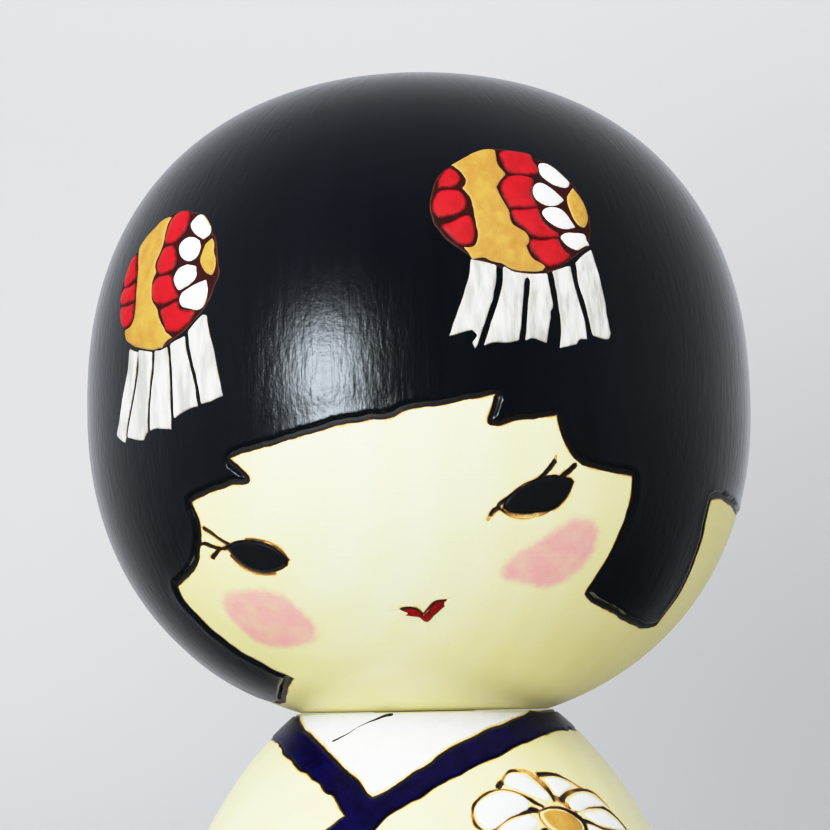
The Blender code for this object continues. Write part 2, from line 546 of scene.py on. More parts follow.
def local_grid(surface, loops, spacing):
    """Staggered map points over the loops' box, which are whole rings if the loops go round the axis."""
    corners = np.vstack(loops)
    low, high = corners.min(0), corners.max(0)
    if low[0] < 0 < high[0] and low[1] < 0 < high[1]:
        return surface.rings(spacing)
    scale = float(surface.scale(corners.mean(0)[None])[0]) * spacing
    across = np.arange(low[0] - scale, high[0] + scale, scale)
    down = np.arange(low[1] - scale, high[1] + scale, scale * ROW_PITCH)
    x, y = np.meshgrid(across, down)
    x = x + (np.arange(len(down)) % 2)[:, None] * scale / 2
    return np.column_stack([x.ravel(), y.ravel()])


class Burn:
    """A burnt line: its map points, and its width and heat from start to end. Heat 1 is black, 0.3 amber."""

    def __init__(self, place, points, width, heat, step, rough, seed):
        self.surface = getattr(place, "surface", place)
        self.flat = line(place, points, step)
        if rough:
            self.flat = roughened(self.surface, self.flat, rough, 1.1, seed, closed=False)
        self.width = np.atleast_1d(np.asarray(width, float))
        self.heat = np.atleast_1d(np.asarray(heat, float))


GROOVE_DEPTH = 0.16
BESIDE_BURN = (0.12, 0.26, 0.42, 0.7, 1.1)
GAP_RANGE = (-1.2, 1.6)     # how far into and out of the char its distance is kept
BLUSH_RANGE = (-3.0, 6.0)
BORDER_MARGIN = 0.002       # points nearer a border than this, on the map, would make slivers


def wood_skin(name, surface, edges, burns, blushes, spacing, ends, material):
    """The whole turned surface in wood. Edges are loops with char on their inner side, burns are single
    lines, and blushes are loops whose distance is kept for colour. Ends are the profiles that close it."""
    rims = [np.exp(-surface.depth[0]), np.exp(-surface.depth[-1])]
    angle = np.arange(RIM_SEGMENTS) * 2 * math.pi / RIM_SEGMENTS
    circle = np.column_stack([np.sin(angle), -np.cos(angle)])
    borders = [circle * ring for ring in rims[:len(ends)]]
    lines = [b.flat for b in burns]
    near_edge = Nearness(surface, edges, [True] * len(edges))
    near_burn = Nearness(surface, lines, [False] * len(lines))

    def clearance(flat):
        spots = surface.at(flat)[0]
        return np.minimum(near_edge.of(spots)[0], near_burn.of(spots)[0])

    rows = []
    for offset in BESIDE_BURN:
        for flat, closed in [(e, True) for e in edges] + [(b, False) for b in lines]:
            row = np.vstack([beside(surface, flat, closed, side) for side in (offset, -offset)])
            rows.append(row[clearance(row) > offset * ROW_CLEARANCE])
    rows = np.vstack(rows)
    rows = rows[thinned(surface.at(rows)[0], SKIN_POINT_GAP)]
    grid = surface.rings(spacing)
    grid = np.vstack([rows, grid[clearance(grid) > BESIDE_BURN[-1] + spacing * 0.4]])
    ring = np.hypot(grid[:, 0], grid[:, 1])
    low_ring = rims[1] * (1 + 2 * BORDER_MARGIN) if len(ends) > 1 else -1
    grid = grid[(ring < 1 - BORDER_MARGIN) & (ring > low_ring)]
    hole = 0
    if len(ends) == 1:
        grid = np.vstack([grid, [[0, 0]]])
    else:
        hole = rims[1] * math.cos(math.pi / RIM_SEGMENTS)
    flat, faces = triangulate(borders + edges, lines, grid,
                              lambda middle: np.hypot(middle[:, 0], middle[:, 1]) > hole * 0.9999)
    base = surface.at(flat)[0]
    gap, heat = burn_gap(flat, base, edges, burns, near_edge, near_burn)
    points, normals = surface.at(flat, -GROOVE_DEPTH * (1 - smoothstep(-0.3, 0.06, gap)))
    faces = outward(base, normals, faces)
    smooth = mesh_normals(points, faces)
    calm = smoothstep(0.9, 1.5, gap)[:, None]
    smooth = smooth * (1 - calm) + normals * calm
    blush = np.full(len(flat), BLUSH_RANGE[0])
    for outline in blushes:
        distance = Nearness(surface, [outline], [True]).of(base)[0]
        signed = np.where(inside(flat, [outline]), distance, -distance)
        blush = np.maximum(blush, np.clip(signed, *BLUSH_RANGE))
    all_points, all_faces = [points], [faces]
    count = len(points)
    for ring, profile in zip(rims, ends):
        start = rim_points(flat, ring)
        extra, more = turned_end(points[start], profile, start, count)
        all_points.append(extra)
        all_faces.append(more)
        count += len(extra)
    points, faces = np.vstack(all_points), np.vstack(all_faces)
    normals = mesh_normals(points, faces)
    from_axis = np.hypot(flat[:, 0], flat[:, 1])
    off_rim = (from_axis < 1 - 1e-4) & (from_axis > low_ring * 1.0001)
    normals[:len(flat)][off_rim] = smooth[off_rim]
    attributes = {key: np.append(values, np.full(count - len(flat), beyond)) for key, values, beyond in (
        ("gap", gap, GAP_RANGE[1]), ("scorch", heat, 0.0), ("blush", blush, BLUSH_RANGE[0]))}
    return mesh_object(name, points, faces, attributes, normals, material)


def burn_gap(flat, base, edges, burns, near_edge, near_burn):
    """Distance of each point outside the nearest char, and that char's heat."""
    edge_distance = near_edge.of(base)[0]
    edge_gap = np.where(inside(flat, edges), -edge_distance, edge_distance)
    distance, index = near_burn.of(base)
    number, share = near_burn.line[index], near_burn.share[index]
    width, heat = np.zeros(len(flat)), np.ones(len(flat))
    for n, burn in enumerate(burns):
        rows = number == n
        for values, target in ((burn.width, width), (burn.heat, heat)):
            target[rows] = np.interp(share[rows], np.linspace(0, 1, len(values)), values)
    burn_gaps = distance - width / 2
    gap = np.minimum(edge_gap, burn_gaps)
    heat = np.where(edge_gap <= burn_gaps, 1.0, heat)
    return np.clip(gap, *GAP_RANGE), heat


def turned_end(rim, profile, start, count):
    """Rings that carry on from the rim through (radius, height) points, down to the last one on the axis."""
    direction = rim[:, :2] / np.linalg.norm(rim[:, :2], axis=1, keepdims=True)
    rings, faces, before = [], [], start
    number = len(rim)
    for radius, height in profile:
        if radius == 0:
            rings.append(np.array([[0, 0, height]]))
            after = np.full(number, count)
            count += 1
        else:
            rings.append(np.column_stack([direction * radius, np.full(number, height)]))
            after = np.arange(count, count + number)
            count += number
        a, b = before, np.roll(before, -1)
        c, d = np.roll(after, -1), after
        faces.append(np.column_stack([a, b, c]))
        if radius != 0:
            faces.append(np.column_stack([a, c, d]))
        before = after
    faces = np.vstack(faces)
    facing = np.cross(rim[1] - rim[0], rings[0][1] - rim[0])[:2] @ direction[0]
    return np.vstack(rings), faces if facing > 0 else faces[:, ::-1]


# ---------------------------------------------------------------- materials


class Nodes:
    """A node tree, with short ways to add to it."""

    def __init__(self, tree):
        self.tree = tree
        tree.nodes.clear()

    def add(self, kind, inputs=(), **settings):
        """A node whose inputs are values or other nodes' outputs."""
        node = self.tree.nodes.new(kind)
        for key, value in settings.items():
            setattr(node, key, value)
        for key, value in dict(inputs).items():
            socket = node.inputs[key]
            if isinstance(value, bpy.types.NodeSocket):
                self.tree.links.new(value, socket)
            else:
                socket.default_value = value
        return node

    def between(self, value, low, high, to_low=0.0, to_high=1.0, curve="SMOOTHSTEP"):
        """The value mapped from one range to another, smoothly unless told otherwise."""
        inputs = {"Value": value, "From Min": low, "From Max": high, "To Min": to_low, "To Max": to_high}
        return self.add("ShaderNodeMapRange", inputs, interpolation_type=curve).outputs[0]

    def mix(self, share, a, b, blend="MIX"):
        """Two colours mixed."""
        inputs = {0: share, 6: a, 7: b}
        return self.add("ShaderNodeMix", inputs, data_type="RGBA", blend_type=blend).outputs[2]

    def ramp(self, value, *stops):
        """Colours at positions along a value."""
        node = self.add("ShaderNodeValToRGB", {0: value})
        elements = node.color_ramp.elements
        while len(elements) < len(stops):
            elements.new(0.5)
        for element, (position, colour) in zip(elements, stops):
            element.position, element.color = position, colour
        return node.outputs[0]


class Look(Nodes):
    """A material and its nodes."""

    def __init__(self, name, **sockets):
        self.material = bpy.data.materials.new(name)
        self.material.use_nodes = True
        super().__init__(self.material.node_tree)
        self.shader = self.add("ShaderNodeBsdfPrincipled")
        self.add("ShaderNodeOutputMaterial", {0: self.shader.outputs[0]})
        for key, value in sockets.items():
            self.shader.inputs[key.replace("_", " ")].default_value = value
        self.place = self.add("ShaderNodeTexCoord").outputs["Object"]

    def set(self, key, value):
        """Links a varying value to the shader."""
        self.tree.links.new(value, self.shader.inputs[key])

    def attribute(self, name):
        return self.add("ShaderNodeAttribute", attribute_name=name).outputs["Fac"]

    def maths(self, operation, a, b=0.0, c=0.0):
        return self.add("ShaderNodeMath", {0: a, 1: b, 2: c}, operation=operation).outputs[0]

    def vector(self, operation, a, b=(0, 0, 0), output=0):
        return self.add("ShaderNodeVectorMath", {0: a, 1: b}, operation=operation).outputs[output]

    def stretched(self, x, y, z):
        """The object's coordinates in millimetres, each scaled."""
        return self.vector("MULTIPLY", self.place, (x * PER_METRE, y * PER_METRE, z * PER_METRE))

    def noise(self, vector, scale=1.0, detail=3.0, roughness=0.55, offset=0.0):
        """Noise from 0 to 1 about 0.5."""
        if offset:
            vector = self.vector("ADD", vector, (offset, offset * 0.7, -offset * 0.4))
        inputs = {"Vector": vector, "Scale": scale, "Detail": detail, "Roughness": roughness}
        return self.add("ShaderNodeTexNoise", inputs).outputs["Fac"]

    def mix_values(self, share, a, b):
        """Two numbers mixed."""
        return self.add("ShaderNodeMix", {0: share, 2: a, 3: b}, data_type="FLOAT").outputs[0]

    def bump(self, height, distance, strength=1.0, before=None):
        """A bump whose height of 1 stands the distance, in millimetres, off the surface."""
        inputs = {"Height": height, "Strength": strength, "Distance": distance * MM}
        if before is not None:
            inputs["Normal"] = before
        return self.add("ShaderNodeBump", inputs).outputs[0]

    def meridians(self, around, along):
        """Coordinates that run round the doll's axis and along it, with no seam."""
        unit = self.vector("NORMALIZE", self.vector("MULTIPLY", self.place, (1, 1, 0)))
        return self.vector("ADD", self.vector("MULTIPLY", unit, (around,) * 3), self.stretched(0, 0, along))


def srgb(red, green, blue):
    """A colour given as 0 to 255 display values, as linear RGBA."""
    linear = [c / 255 / 12.92 if c <= 10 else ((c / 255 + 0.055) / 1.055) ** 2.4 for c in (red, green, blue)]
    return (*linear, 1.0)


CHAR_BLACK = srgb(20, 13, 10)
CHAR_BROWN = srgb(58, 32, 16)
AMBER_DEEP = srgb(182, 122, 44)
AMBER_LIGHT = srgb(240, 210, 122)
# honey tint multiplied into the head's wood away from its lit spot: painted shade
SHADE_HONEY = (1.0, 0.94, 0.64, 1)
ROUGE = srgb(235, 146, 152)
ROUGE_WORN = srgb(238, 180, 168)
PITH = (31.0, 52.0, 0.0)    # from the tree's middle to the doll's axis, in millimetres


def wood_look(name, light, deep, seed, lit_spot=None):
    """Turned pale wood under a satin wax, with lathe marks, grain, char where it is burnt, and rouge. Given a
    lit spot, it is palest there as a painted highlight and turns to a honey colour away from it as painted
    shade."""
    look = Look(name, IOR=1.5, Specular_IOR_Level=0.9)
    place = look.stretched(1, 1, 1)
    lathe = look.noise(look.stretched(0.12, 0.12, 2.4), 1.6, 4.0, 0.65, seed)
    wobble = look.noise(look.stretched(0.05, 0.05, 0.015), 1.0, 2.0, 0.5, seed)
    radius = look.vector("LENGTH", look.vector("ADD", look.stretched(1, 1, 0.03), PITH), output="Value")
    wobble = look.maths("MULTIPLY", wobble, 16.0)
    growth = look.maths("SINE", look.maths("MULTIPLY_ADD", radius, 1.15, wobble))
    fibre = look.noise(look.stretched(1.3, 1.3, 0.06), 2.2, 3.0, 0.6, seed + 3)
    patches = look.noise(look.stretched(0.05, 0.05, 0.05), 1.0, 2.0, 0.5, seed + 5)
    tone = look.maths("MULTIPLY_ADD", growth, 0.10, look.maths("MULTIPLY_ADD", fibre, 0.5, patches))
    tone = look.maths("MULTIPLY_ADD", lathe, 0.25, look.maths("SUBTRACT", tone, 0.38))
    wood = look.mix(tone, light, deep)
    # painted highlight and painted shade: paler near the lit spot, multiplied towards honey further from it
    if lit_spot is not None:
        far = look.vector("LENGTH", look.vector("SUBTRACT", place, lit_spot), output="Value")
        far = look.between(look.maths("MULTIPLY_ADD", patches, 6.0, far), 9.0, 40.0)
        wood = look.mix(far, wood, SHADE_HONEY, "MULTIPLY")

    brush = look.noise(look.stretched(0.7, 0.7, 1.1), 1.7, 3.0, 0.65, seed + 8)
    dabs = look.noise(place, 0.45, 2.0, 0.5, seed + 9)
    rough_edge = look.maths("MULTIPLY_ADD", brush, 1.2, look.maths("SUBTRACT", look.attribute("blush"), 0.6))
    amount = look.between(rough_edge, -0.6, 0.75)
    amount = look.maths("MULTIPLY", amount, look.between(dabs, 0.25, 0.75, 0.72, 1.0))
    wood = look.mix(amount, wood, look.mix(brush, ROUGE, ROUGE_WORN))

    gap, heat = look.attribute("gap"), look.attribute("scorch")
    ragged = look.noise(place, 2.6, 4.0, 0.7, seed + 11)
    halo_width = look.between(look.noise(place, 0.55, 2.0, 0.5, seed + 12), 0.4, 0.68, 0.10, 0.42)
    edge = look.maths("MULTIPLY_ADD", ragged, 0.16, look.maths("SUBTRACT", gap, 0.08))
    halo = look.maths("DIVIDE", edge, halo_width)
    faded = look.mix(look.between(halo, 0.0, 1.25, 1.0, 0.0), wood, AMBER_LIGHT)
    faded = look.mix(look.between(halo, 0.0, 0.5, 1.0, 0.0), faded, AMBER_DEEP)
    hot = look.maths("MULTIPLY_ADD", ragged, 0.5, look.maths("SUBTRACT", heat, 0.25))
    core = look.ramp(hot, (0.05, AMBER_LIGHT), (0.3, AMBER_DEEP), (0.62, CHAR_BROWN), (0.9, CHAR_BLACK))
    charred = look.between(edge, -0.05, 0.05, 1.0, 0.0)
    look.set("Base Color", look.mix(charred, faded, core))

    look.set("Roughness", look.mix_values(charred, look.between(lathe, 0.3, 0.7, 0.40, 0.50), 0.42))
    height = look.maths("MULTIPLY_ADD", fibre, 0.35, lathe)
    crumbly = look.maths("MULTIPLY", look.maths("MULTIPLY", ragged, charred), 3.0)
    look.set("Normal", look.bump(look.maths("ADD", height, crumbly), 0.05, 0.55))
    return look.material


def lacquer_look(name, dark, pale, roughness, gloss, streak, chop, peel, seed):
    """Black hair paint under varnish: brushed from the crown down, with short strokes and an orange peel."""
    look = Look(name, IOR=1.5, Specular_IOR_Level=gloss)
    streaks = look.noise(look.meridians(34, 0.05), 1.1, 4.0, 0.7, seed)
    broad = look.noise(look.meridians(9, 0.03), 1.0, 2.0, 0.5, seed + 2)
    strokes = look.noise(look.meridians(62, 0.42), 1.0, 2.0, 0.55, seed + 6)
    grit = look.noise(look.stretched(1, 1, 1), 1.9, 3.0, 0.6, seed + 4)
    share = look.maths("MULTIPLY_ADD", streaks, 0.7, look.maths("SUBTRACT", broad, 0.45))
    look.set("Base Color", look.mix(share, dark, pale))
    rough = look.maths("MULTIPLY_ADD", grit, 0.08, roughness - 0.12)
    rough = look.maths("MULTIPLY_ADD", streaks, 0.16, rough)
    look.set("Roughness", rough)
    brushed = look.bump(strokes, chop, before=look.bump(streaks, streak))
    look.set("Normal", look.bump(grit, peel, before=brushed))
    return look.material


def paint_look(name, core, rim, rim_width, roughness, grain, seed, spots=None, stretch=(1, 1, 1), sheen=0.5):
    """Opaque poster paint over char: its edge is thin and shows the rim colour through it."""
    look = Look(name, IOR=1.45, Specular_IOR_Level=sheen)
    grit = look.noise(look.stretched(*stretch), 1.6, 4.0, 0.65, seed)
    mottle = look.noise(look.stretched(*stretch), 0.45, 3.0, 0.6, seed + 3)
    colour = look.mix(look.between(mottle, 0.36, 0.66), core, spots or core)
    edge = look.maths("MULTIPLY_ADD", grit, 0.5, look.maths("SUBTRACT", look.attribute("rim"), 0.25))
    thin = look.between(look.maths("DIVIDE", edge, rim_width), 0.15, 1.0, 1.0, 0.0)
    look.set("Base Color", look.mix(thin, colour, rim))
    look.set("Roughness", look.maths("MULTIPLY_ADD", grit, 0.25, roughness - 0.12))
    look.set("Normal", look.bump(grit, grain))
    return look.material


def stage_look(name, colour, shade, spot):
    """Matt paper with a painted shadow: darker round one spot."""
    look = Look(name, Roughness=0.9)
    cloud = look.noise(look.stretched(0.002, 0.002, 0.002), 1.0, 2.0)
    # painted shadow: the paper turns to the shade colour near the spot
    far = look.vector("LENGTH", look.vector("SUBTRACT", look.place, spot), output="Value")
    far = look.maths("MULTIPLY_ADD", cloud, 0.05, far)
    look.set("Base Color", look.mix(look.between(far, 0.05, 0.55), shade, colour))
    return look.material


# the head's wood is palest at the brow, where the window's light falls, as a painted highlight, and
# honey-tinted away from it as painted shade
HEAD_WOOD = wood_look("head_wood", srgb(235, 235, 202), srgb(229, 224, 170), seed=4.0,
                      lit_spot=(-3.6, -36.0, 96.0))
BODY_WOOD = wood_look("body_wood", srgb(229, 228, 187), srgb(220, 214, 158), seed=9.0)
DOWEL_WOOD = wood_look("dowel_wood", srgb(236, 216, 172), srgb(214, 184, 130), seed=15.0)
HAIR = lacquer_look("hair_black", srgb(5, 9, 14), srgb(10, 15, 22), roughness=0.20, gloss=1.0,
                    streak=0.012, chop=0.036, peel=0.02, seed=2.0)
EYE = lacquer_look("eye_black", srgb(12, 14, 18), srgb(20, 22, 26), roughness=0.36, gloss=0.3,
                   streak=0.0, chop=0.0, peel=0.03, seed=7.0)
# each paint: its colour, its rim's colour and width, roughness, depth of grain, seed and colour of its spots
RED = paint_look("paint_red", srgb(194, 8, 24), srgb(92, 3, 8), 0.45, 0.42, 0.03, 3.0, srgb(172, 5, 18),
                 sheen=0.3)
GOLD = paint_look("paint_gold", srgb(194, 150, 58), srgb(200, 160, 84), 0.25, 0.5, 0.08, 5.0,
                  srgb(180, 132, 46))
WHITE = paint_look("paint_white", srgb(244, 244, 244), srgb(196, 158, 98), 0.12, 0.45, 0.03, 6.0)
FLOWER_WHITE = paint_look("flower_white", srgb(240, 241, 243), srgb(206, 170, 110), 0.1, 0.45, 0.04, 6.5,
                          srgb(232, 233, 236))
TASSEL = paint_look("tassel_white", srgb(228, 227, 221), srgb(186, 168, 136), 0.1, 0.5, 0.11, 8.0,
                    srgb(176, 174, 168), stretch=(1.6, 1.6, 0.35))
UNDER_WHITE = paint_look("under_collar_white", srgb(238, 239, 241), srgb(214, 196, 160), 0.12, 0.45, 0.03,
                         10.0, srgb(230, 231, 235))
NAVY = paint_look("paint_navy", srgb(2, 1, 34), srgb(4, 3, 6), 0.5, 0.36, 0.03, 11.0, srgb(5, 2, 54),
                  sheen=0.12)
LIP = paint_look("lip_red", srgb(146, 3, 5), srgb(78, 3, 5), 0.24, 0.4, 0.02, 12.0, srgb(116, 3, 6),
                 sheen=0.12)
GROUND = paint_look("burnt_ground", srgb(58, 4, 7), srgb(84, 46, 22), 0.25, 0.5, 0.06, 13.0, srgb(38, 14, 8),
                    sheen=0.3)
BURNT = paint_look("burnt_line", srgb(24, 15, 11), srgb(60, 34, 18), 0.08, 0.8, 0.05, 14.0)

# ---------------------------------------------------------------- the head's drawing

RIGHT_ORNAMENT = Patch(HEAD, 16.0, 52.0)
LEFT_ORNAMENT = Patch(HEAD, -45.0, 47.0)

HAIR_LOOP = loop(
    HEAD,
    [(-72, 0.9), (-62, 1.1), (-52, 1.9), (-45.3, 2.7), (-41.6, 3.2), (-39.2, 3.6)],
    [(-41.2, 4.2), (-42.6, 4.5), (-44.3, 5.4), (-48.1, 6.8), (-51.0, 8.6), (-53.2, 10.9), (-54.4, 12.5),
     (-53.8, 13.9)],
    [(-51.8, 14.2), (-48.3, 14.9), (-45.9, 15.5), (-43.9, 16.5), (-41.7, 18.2), (-40.7, 20.0), (-40.9, 21.8),
     (-41.2, 22.5)],
    [(-38.9, 22.9), (-36.4, 23.3), (-34.0, 23.6), (-32.1, 23.9), (-29.6, 23.9), (-28.6, 24.0), (-28.3, 24.4),
     (-28.6, 24.9), (-29.5, 25.5), (-31.6, 26.7)],
    [(-28.4, 27.2), (-24.8, 27.6), (-21.0, 28.1), (-17.5, 28.6), (-14.0, 29.1), (-9.1, 29.65), (-4.3, 30.0),
     (-2.4, 30.6), (0.8, 31.0), (3.2, 31.2), (7.9, 31.75), (11.8, 32.3)],
    [(11.3, 31.4), (10.9, 30.5), (10.5, 29.7), (10.7, 29.2), (11.4, 29.0), (12.4, 29.0), (14.9, 29.5),
     (18.4, 29.8), (21.8, 30.2)],
    [(22.0, 29.4), (22.5, 28.4), (23.3, 27.3), (24.4, 26.3), (26.0, 25.3), (28.4, 24.8), (32.7, 24.4),
     (36.7, 24.2)],
    [(37.0, 23.3), (37.0, 22.0), (36.5, 19.2), (35.6, 16.6), (34.1, 13.9), (33.1, 11.9)],
    [(34.0, 11.4), (36.9, 10.8), (42.3, 10.0), (50.5, 8.9), (56.0, 8.5), (60.8, 8.5), (63.8, 8.8)],
    [(63.2, 10.0), (63.4, 12.4), (62.6, 15.0), (61.4, 17.8), (60.1, 20.7), (59.9, 22.4)],
    [(62.3, 22.6), (68.0, 22.4), (77.0, 21.7), (90.0, 21.3), (110, 21.0), (135, 20.0), (160, 18.5),
     (180, 17.0), (200, 15.5), (225, 14.0), (250, 13.0), (262, 12.8)],
    [(264, 9.5), (269, 5.6), (275, 2.6), (278, 1.4)],
    step=COARSE_STEP)
HAIR_LOOP = roughened(HEAD, roughened(HEAD, HAIR_LOOP, 0.06, 1.4, 21), 0.03, 0.7, 22)

LEFT_EYE = loop(
    HEAD,
    [(-34.4, 18.05), (-32.4, 18.2), (-30.6, 18.15), (-28.7, 17.95), (-26.5, 17.4), (-25.1, 16.7),
     (-24.1, 15.95)],
    [(-24.5, 15.4), (-25.6, 15.05), (-27.3, 14.75), (-29.4, 14.65), (-31.3, 14.85), (-32.9, 15.2),
     (-34.4, 15.9), (-35.5, 16.75), (-36.1, 17.5)],
    step=FINE_STEP)
RIGHT_EYE = loop(
    HEAD,
    [(13.8, 21.4), (15.2, 22.35), (16.8, 23.05), (18.8, 23.6), (20.6, 23.95), (22.0, 24.05), (23.7, 23.85),
     (25.0, 23.7), (25.5, 23.35)],
    [(25.2, 22.6), (24.6, 21.8), (23.5, 20.95), (22.2, 20.4), (20.7, 20.15), (18.7, 20.05), (16.6, 20.0),
     (14.8, 20.15), (13.4, 20.6)],
    step=FINE_STEP)
LIPS = loop(
    HEAD,
    [(-3.4, 10.5), (-2.2, 10.5), (-1.0, 10.35), (0.1, 9.85)],
    [(0.9, 10.2), (1.6, 10.7), (2.5, 11.1), (3.4, 11.25), (4.3, 11.3)],
    [(4.2, 10.9), (4.4, 10.7)],
    [(3.9, 10.5), (3.1, 10.1), (2.3, 9.75), (1.6, 9.35), (0.8, 9.1), (0.1, 9.2)],
    [(-0.9, 9.6), (-2.1, 9.7), (-3.9, 9.85)],
    [(-3.1, 10.05), (-4.3, 10.3)],
    step=0.15)

LEFT_CHEEK = loop(
    HEAD,
    [(-41.0, 12.9), (-34.9, 13.1), (-29.6, 12.9), (-26.6, 12.1), (-24.9, 10.8), (-23.2, 9.5), (-23.4, 8.2),
     (-26.0, 7.3), (-31.9, 6.9), (-37.5, 7.0), (-41.2, 8.0), (-43.0, 9.6), (-43.6, 11.4)],
    step=0.6)
RIGHT_CHEEK = loop(
    HEAD,
    [(14.0, 14.1), (15.6, 15.6), (19.0, 16.8), (22.4, 18.2), (26.1, 19.6), (29.4, 19.7), (31.7, 18.6),
     (32.0, 16.9), (30.6, 14.8), (27.4, 13.1), (23.5, 12.5), (18.6, 13.0), (15.0, 13.4)],
    step=0.6)

# each burnt line of the face: points, widths, heats, roughness of its edge and spacing of its points
HEAD_LINES = (
    ([(-40.0, 19.7), (-38.5, 19.1), (-37.0, 18.4), (-35.2, 17.8)], (0.48, 0.36, 0.4), 0.95, 0.03, STEP),
    ([(-41.9, 18.1), (-40.8, 18.1), (-39.5, 17.8), (-37.8, 17.5), (-35.8, 17.6)], (0.3, 0.55, 0.42, 0.5, 0.5),
     0.95, 0.03, STEP),
    ([(-40.2, 16.5), (-39.5, 16.9), (-38.2, 17.3), (-36.4, 17.6)], (0.55, 0.5, 0.3, 0.2), 0.9, 0.03, STEP),
    ([(-31.6, 18.35), (-29.2, 18.2), (-26.7, 17.65), (-25.0, 16.9), (-23.8, 15.9)], (0.08, 0.14, 0.16, 0.12),
     (0.5, 0.3, 0.24, 0.5), 0.04, STEP),
    ([(-35.8, 16.7), (-34.4, 15.7), (-32.8, 15.0), (-30.9, 14.6), (-29.0, 14.45), (-27.4, 14.5)],
     (0.18, 0.16, 0.18, 0.14, 0.06), (0.8, 0.3, 0.24, 0.3, 0.4), 0.04, STEP),
    ([(11.55, 19.9), (12.2, 20.45), (12.9, 21.0)], (0.42, 0.55, 0.3), 0.95, 0.03, STEP),
    ([(12.9, 21.0), (14.3, 21.7), (16.3, 22.7), (19.1, 23.5)], (0.5, 0.3, 0.45, 0.5), (0.95, 0.8, 0.5, 0.9),
     0.05, STEP),
    ([(19.0, 23.4), (20.2, 24.2), (21.0, 24.8), (21.75, 25.45)], (0.5, 0.52, 0.56), 0.98, 0.03, STEP),
    ([(22.7, 23.5), (24.0, 24.3), (25.4, 25.05)], (0.6, 0.58, 0.62), 0.98, 0.03, STEP),
    ([(13.2, 20.5), (14.6, 20.0), (16.6, 19.78), (18.8, 19.85), (20.6, 20.1), (21.9, 20.4)],
     (0.2, 0.36, 0.46, 0.42, 0.16), (0.8, 0.22, 0.14, 0.2, 0.7), 0.05, STEP),
    ([(21.85, 25.75), (21.95, 25.95)], 0.24, 0.1, 0, STEP),
    ([(11.3, 19.7), (11.1, 19.45)], 0.24, 0.2, 0, STEP),
    ([(-4.2, 10.45), (-3.0, 10.62), (-1.4, 10.5), (0.1, 9.92)], (0.36, 0.42, 0.22, 0.16), 0.85, 0.03, 0.2),
    ([(0.2, 9.95), (1.2, 10.6), (2.4, 11.2), (4.4, 11.35)], (0.2, 0.26, 0.3, 0.3), 0.85, 0.03, 0.2),
)
HEAD_BURNS = [Burn(HEAD, points, widths, heats, step, rough, seed)
              for seed, (points, widths, heats, rough, step) in enumerate(HEAD_LINES, 1)]

# each film's profile is (distance in from its edge, lift), in millimetres
HAIR_FILM = [(0, -0.34), (0.45, -0.25), (0.66, -0.12), (0.8, 0.04), (0.92, 0.14), (1.1, 0.17), (1.35, 0.15),
             (1.9, 0.10)]
FLAT_FILM = [(0, -0.06), (0.08, 0.03), (0.2, 0.08), (0.4, 0.10)]
HAIR_LIFT = 0.10
GROUND_FILM = [(0, HAIR_LIFT - 0.06), (0.1, HAIR_LIFT + 0.03), (0.25, HAIR_LIFT + 0.07),
               (0.5, HAIR_LIFT + 0.08)]
GOLD_FILM = [(0, HAIR_LIFT), (0.07, HAIR_LIFT + 0.12), (0.18, HAIR_LIFT + 0.20), (0.4, HAIR_LIFT + 0.21)]
STRIP_FILM = [(0, HAIR_LIFT - 0.08), (0.07, HAIR_LIFT + 0.06), (0.18, HAIR_LIFT + 0.13),
              (0.4, HAIR_LIFT + 0.14)]
LOBE_FILM = [(0, HAIR_LIFT), (0.1, HAIR_LIFT + 0.13), (0.3, HAIR_LIFT + 0.24), (0.6, HAIR_LIFT + 0.32),
             (1.1, HAIR_LIFT + 0.38), (1.8, HAIR_LIFT + 0.40)]

RIGHT_BALL = [(-5.5, 6.1), (-4.2, 7.0), (-2.5, 8.0), (-0.3, 8.5), (2.3, 8.2), (4.2, 7.4), (6.0, 6.6),
              (7.7, 4.8), (8.8, 2.5), (9.3, 0.2), (9.0, -2.2), (8.6, -3.3), (7.2, -4.4), (5.4, -5.9),
              (2.8, -7.1), (0, -7.0), (-1.9, -6.4), (-4.3, -5.6), (-5.9, -4.5), (-7.8, -2.3), (-8.6, 0.1),
              (-8.1, 2.7), (-6.9, 5.0)]
RIGHT_BAND = (
    [(-5.0, 5.4), (-4.5, 4.6), (-4.3, 4.1), (-4.5, 3.4), (-4.9, 2.9)],
    [(-4.5, 2.3), (-4.2, 1.6), (-4.05, 0.0), (-3.95, -1.8), (-3.9, -2.8), (-4.2, -3.8), (-4.8, -4.15),
     (-5.6, -4.1)],
    [(-5.1, -4.8), (-4.7, -5.5)],
    [(-3.4, -5.5), (-2.7, -5.8), (-1.6, -6.1), (-1.0, -6.5), (0.1, -6.8), (1.7, -6.9), (2.9, -6.7)],
    [(3.3, -6.2)],
    [(2.8, -5.8), (2.0, -5.4), (1.5, -4.6), (1.35, -4.0)],
    [(1.6, -3.7), (1.7, -3.0), (1.4, -2.4), (0.7, -1.95), (0.0, -1.3), (-0.1, -0.4), (-0.2, 0.3), (-0.5, 1.1),
     (-0.8, 2.0), (-1.1, 3.0)],
    [(-0.5, 3.9), (0.2, 4.8)],
    [(-0.15, 5.5), (-0.4, 6.1), (-0.4, 7.2), (-0.3, 8.2)],
    [(-1.3, 8.3), (-2.5, 7.9), (-4.2, 6.9), (-5.5, 6.1)],
)
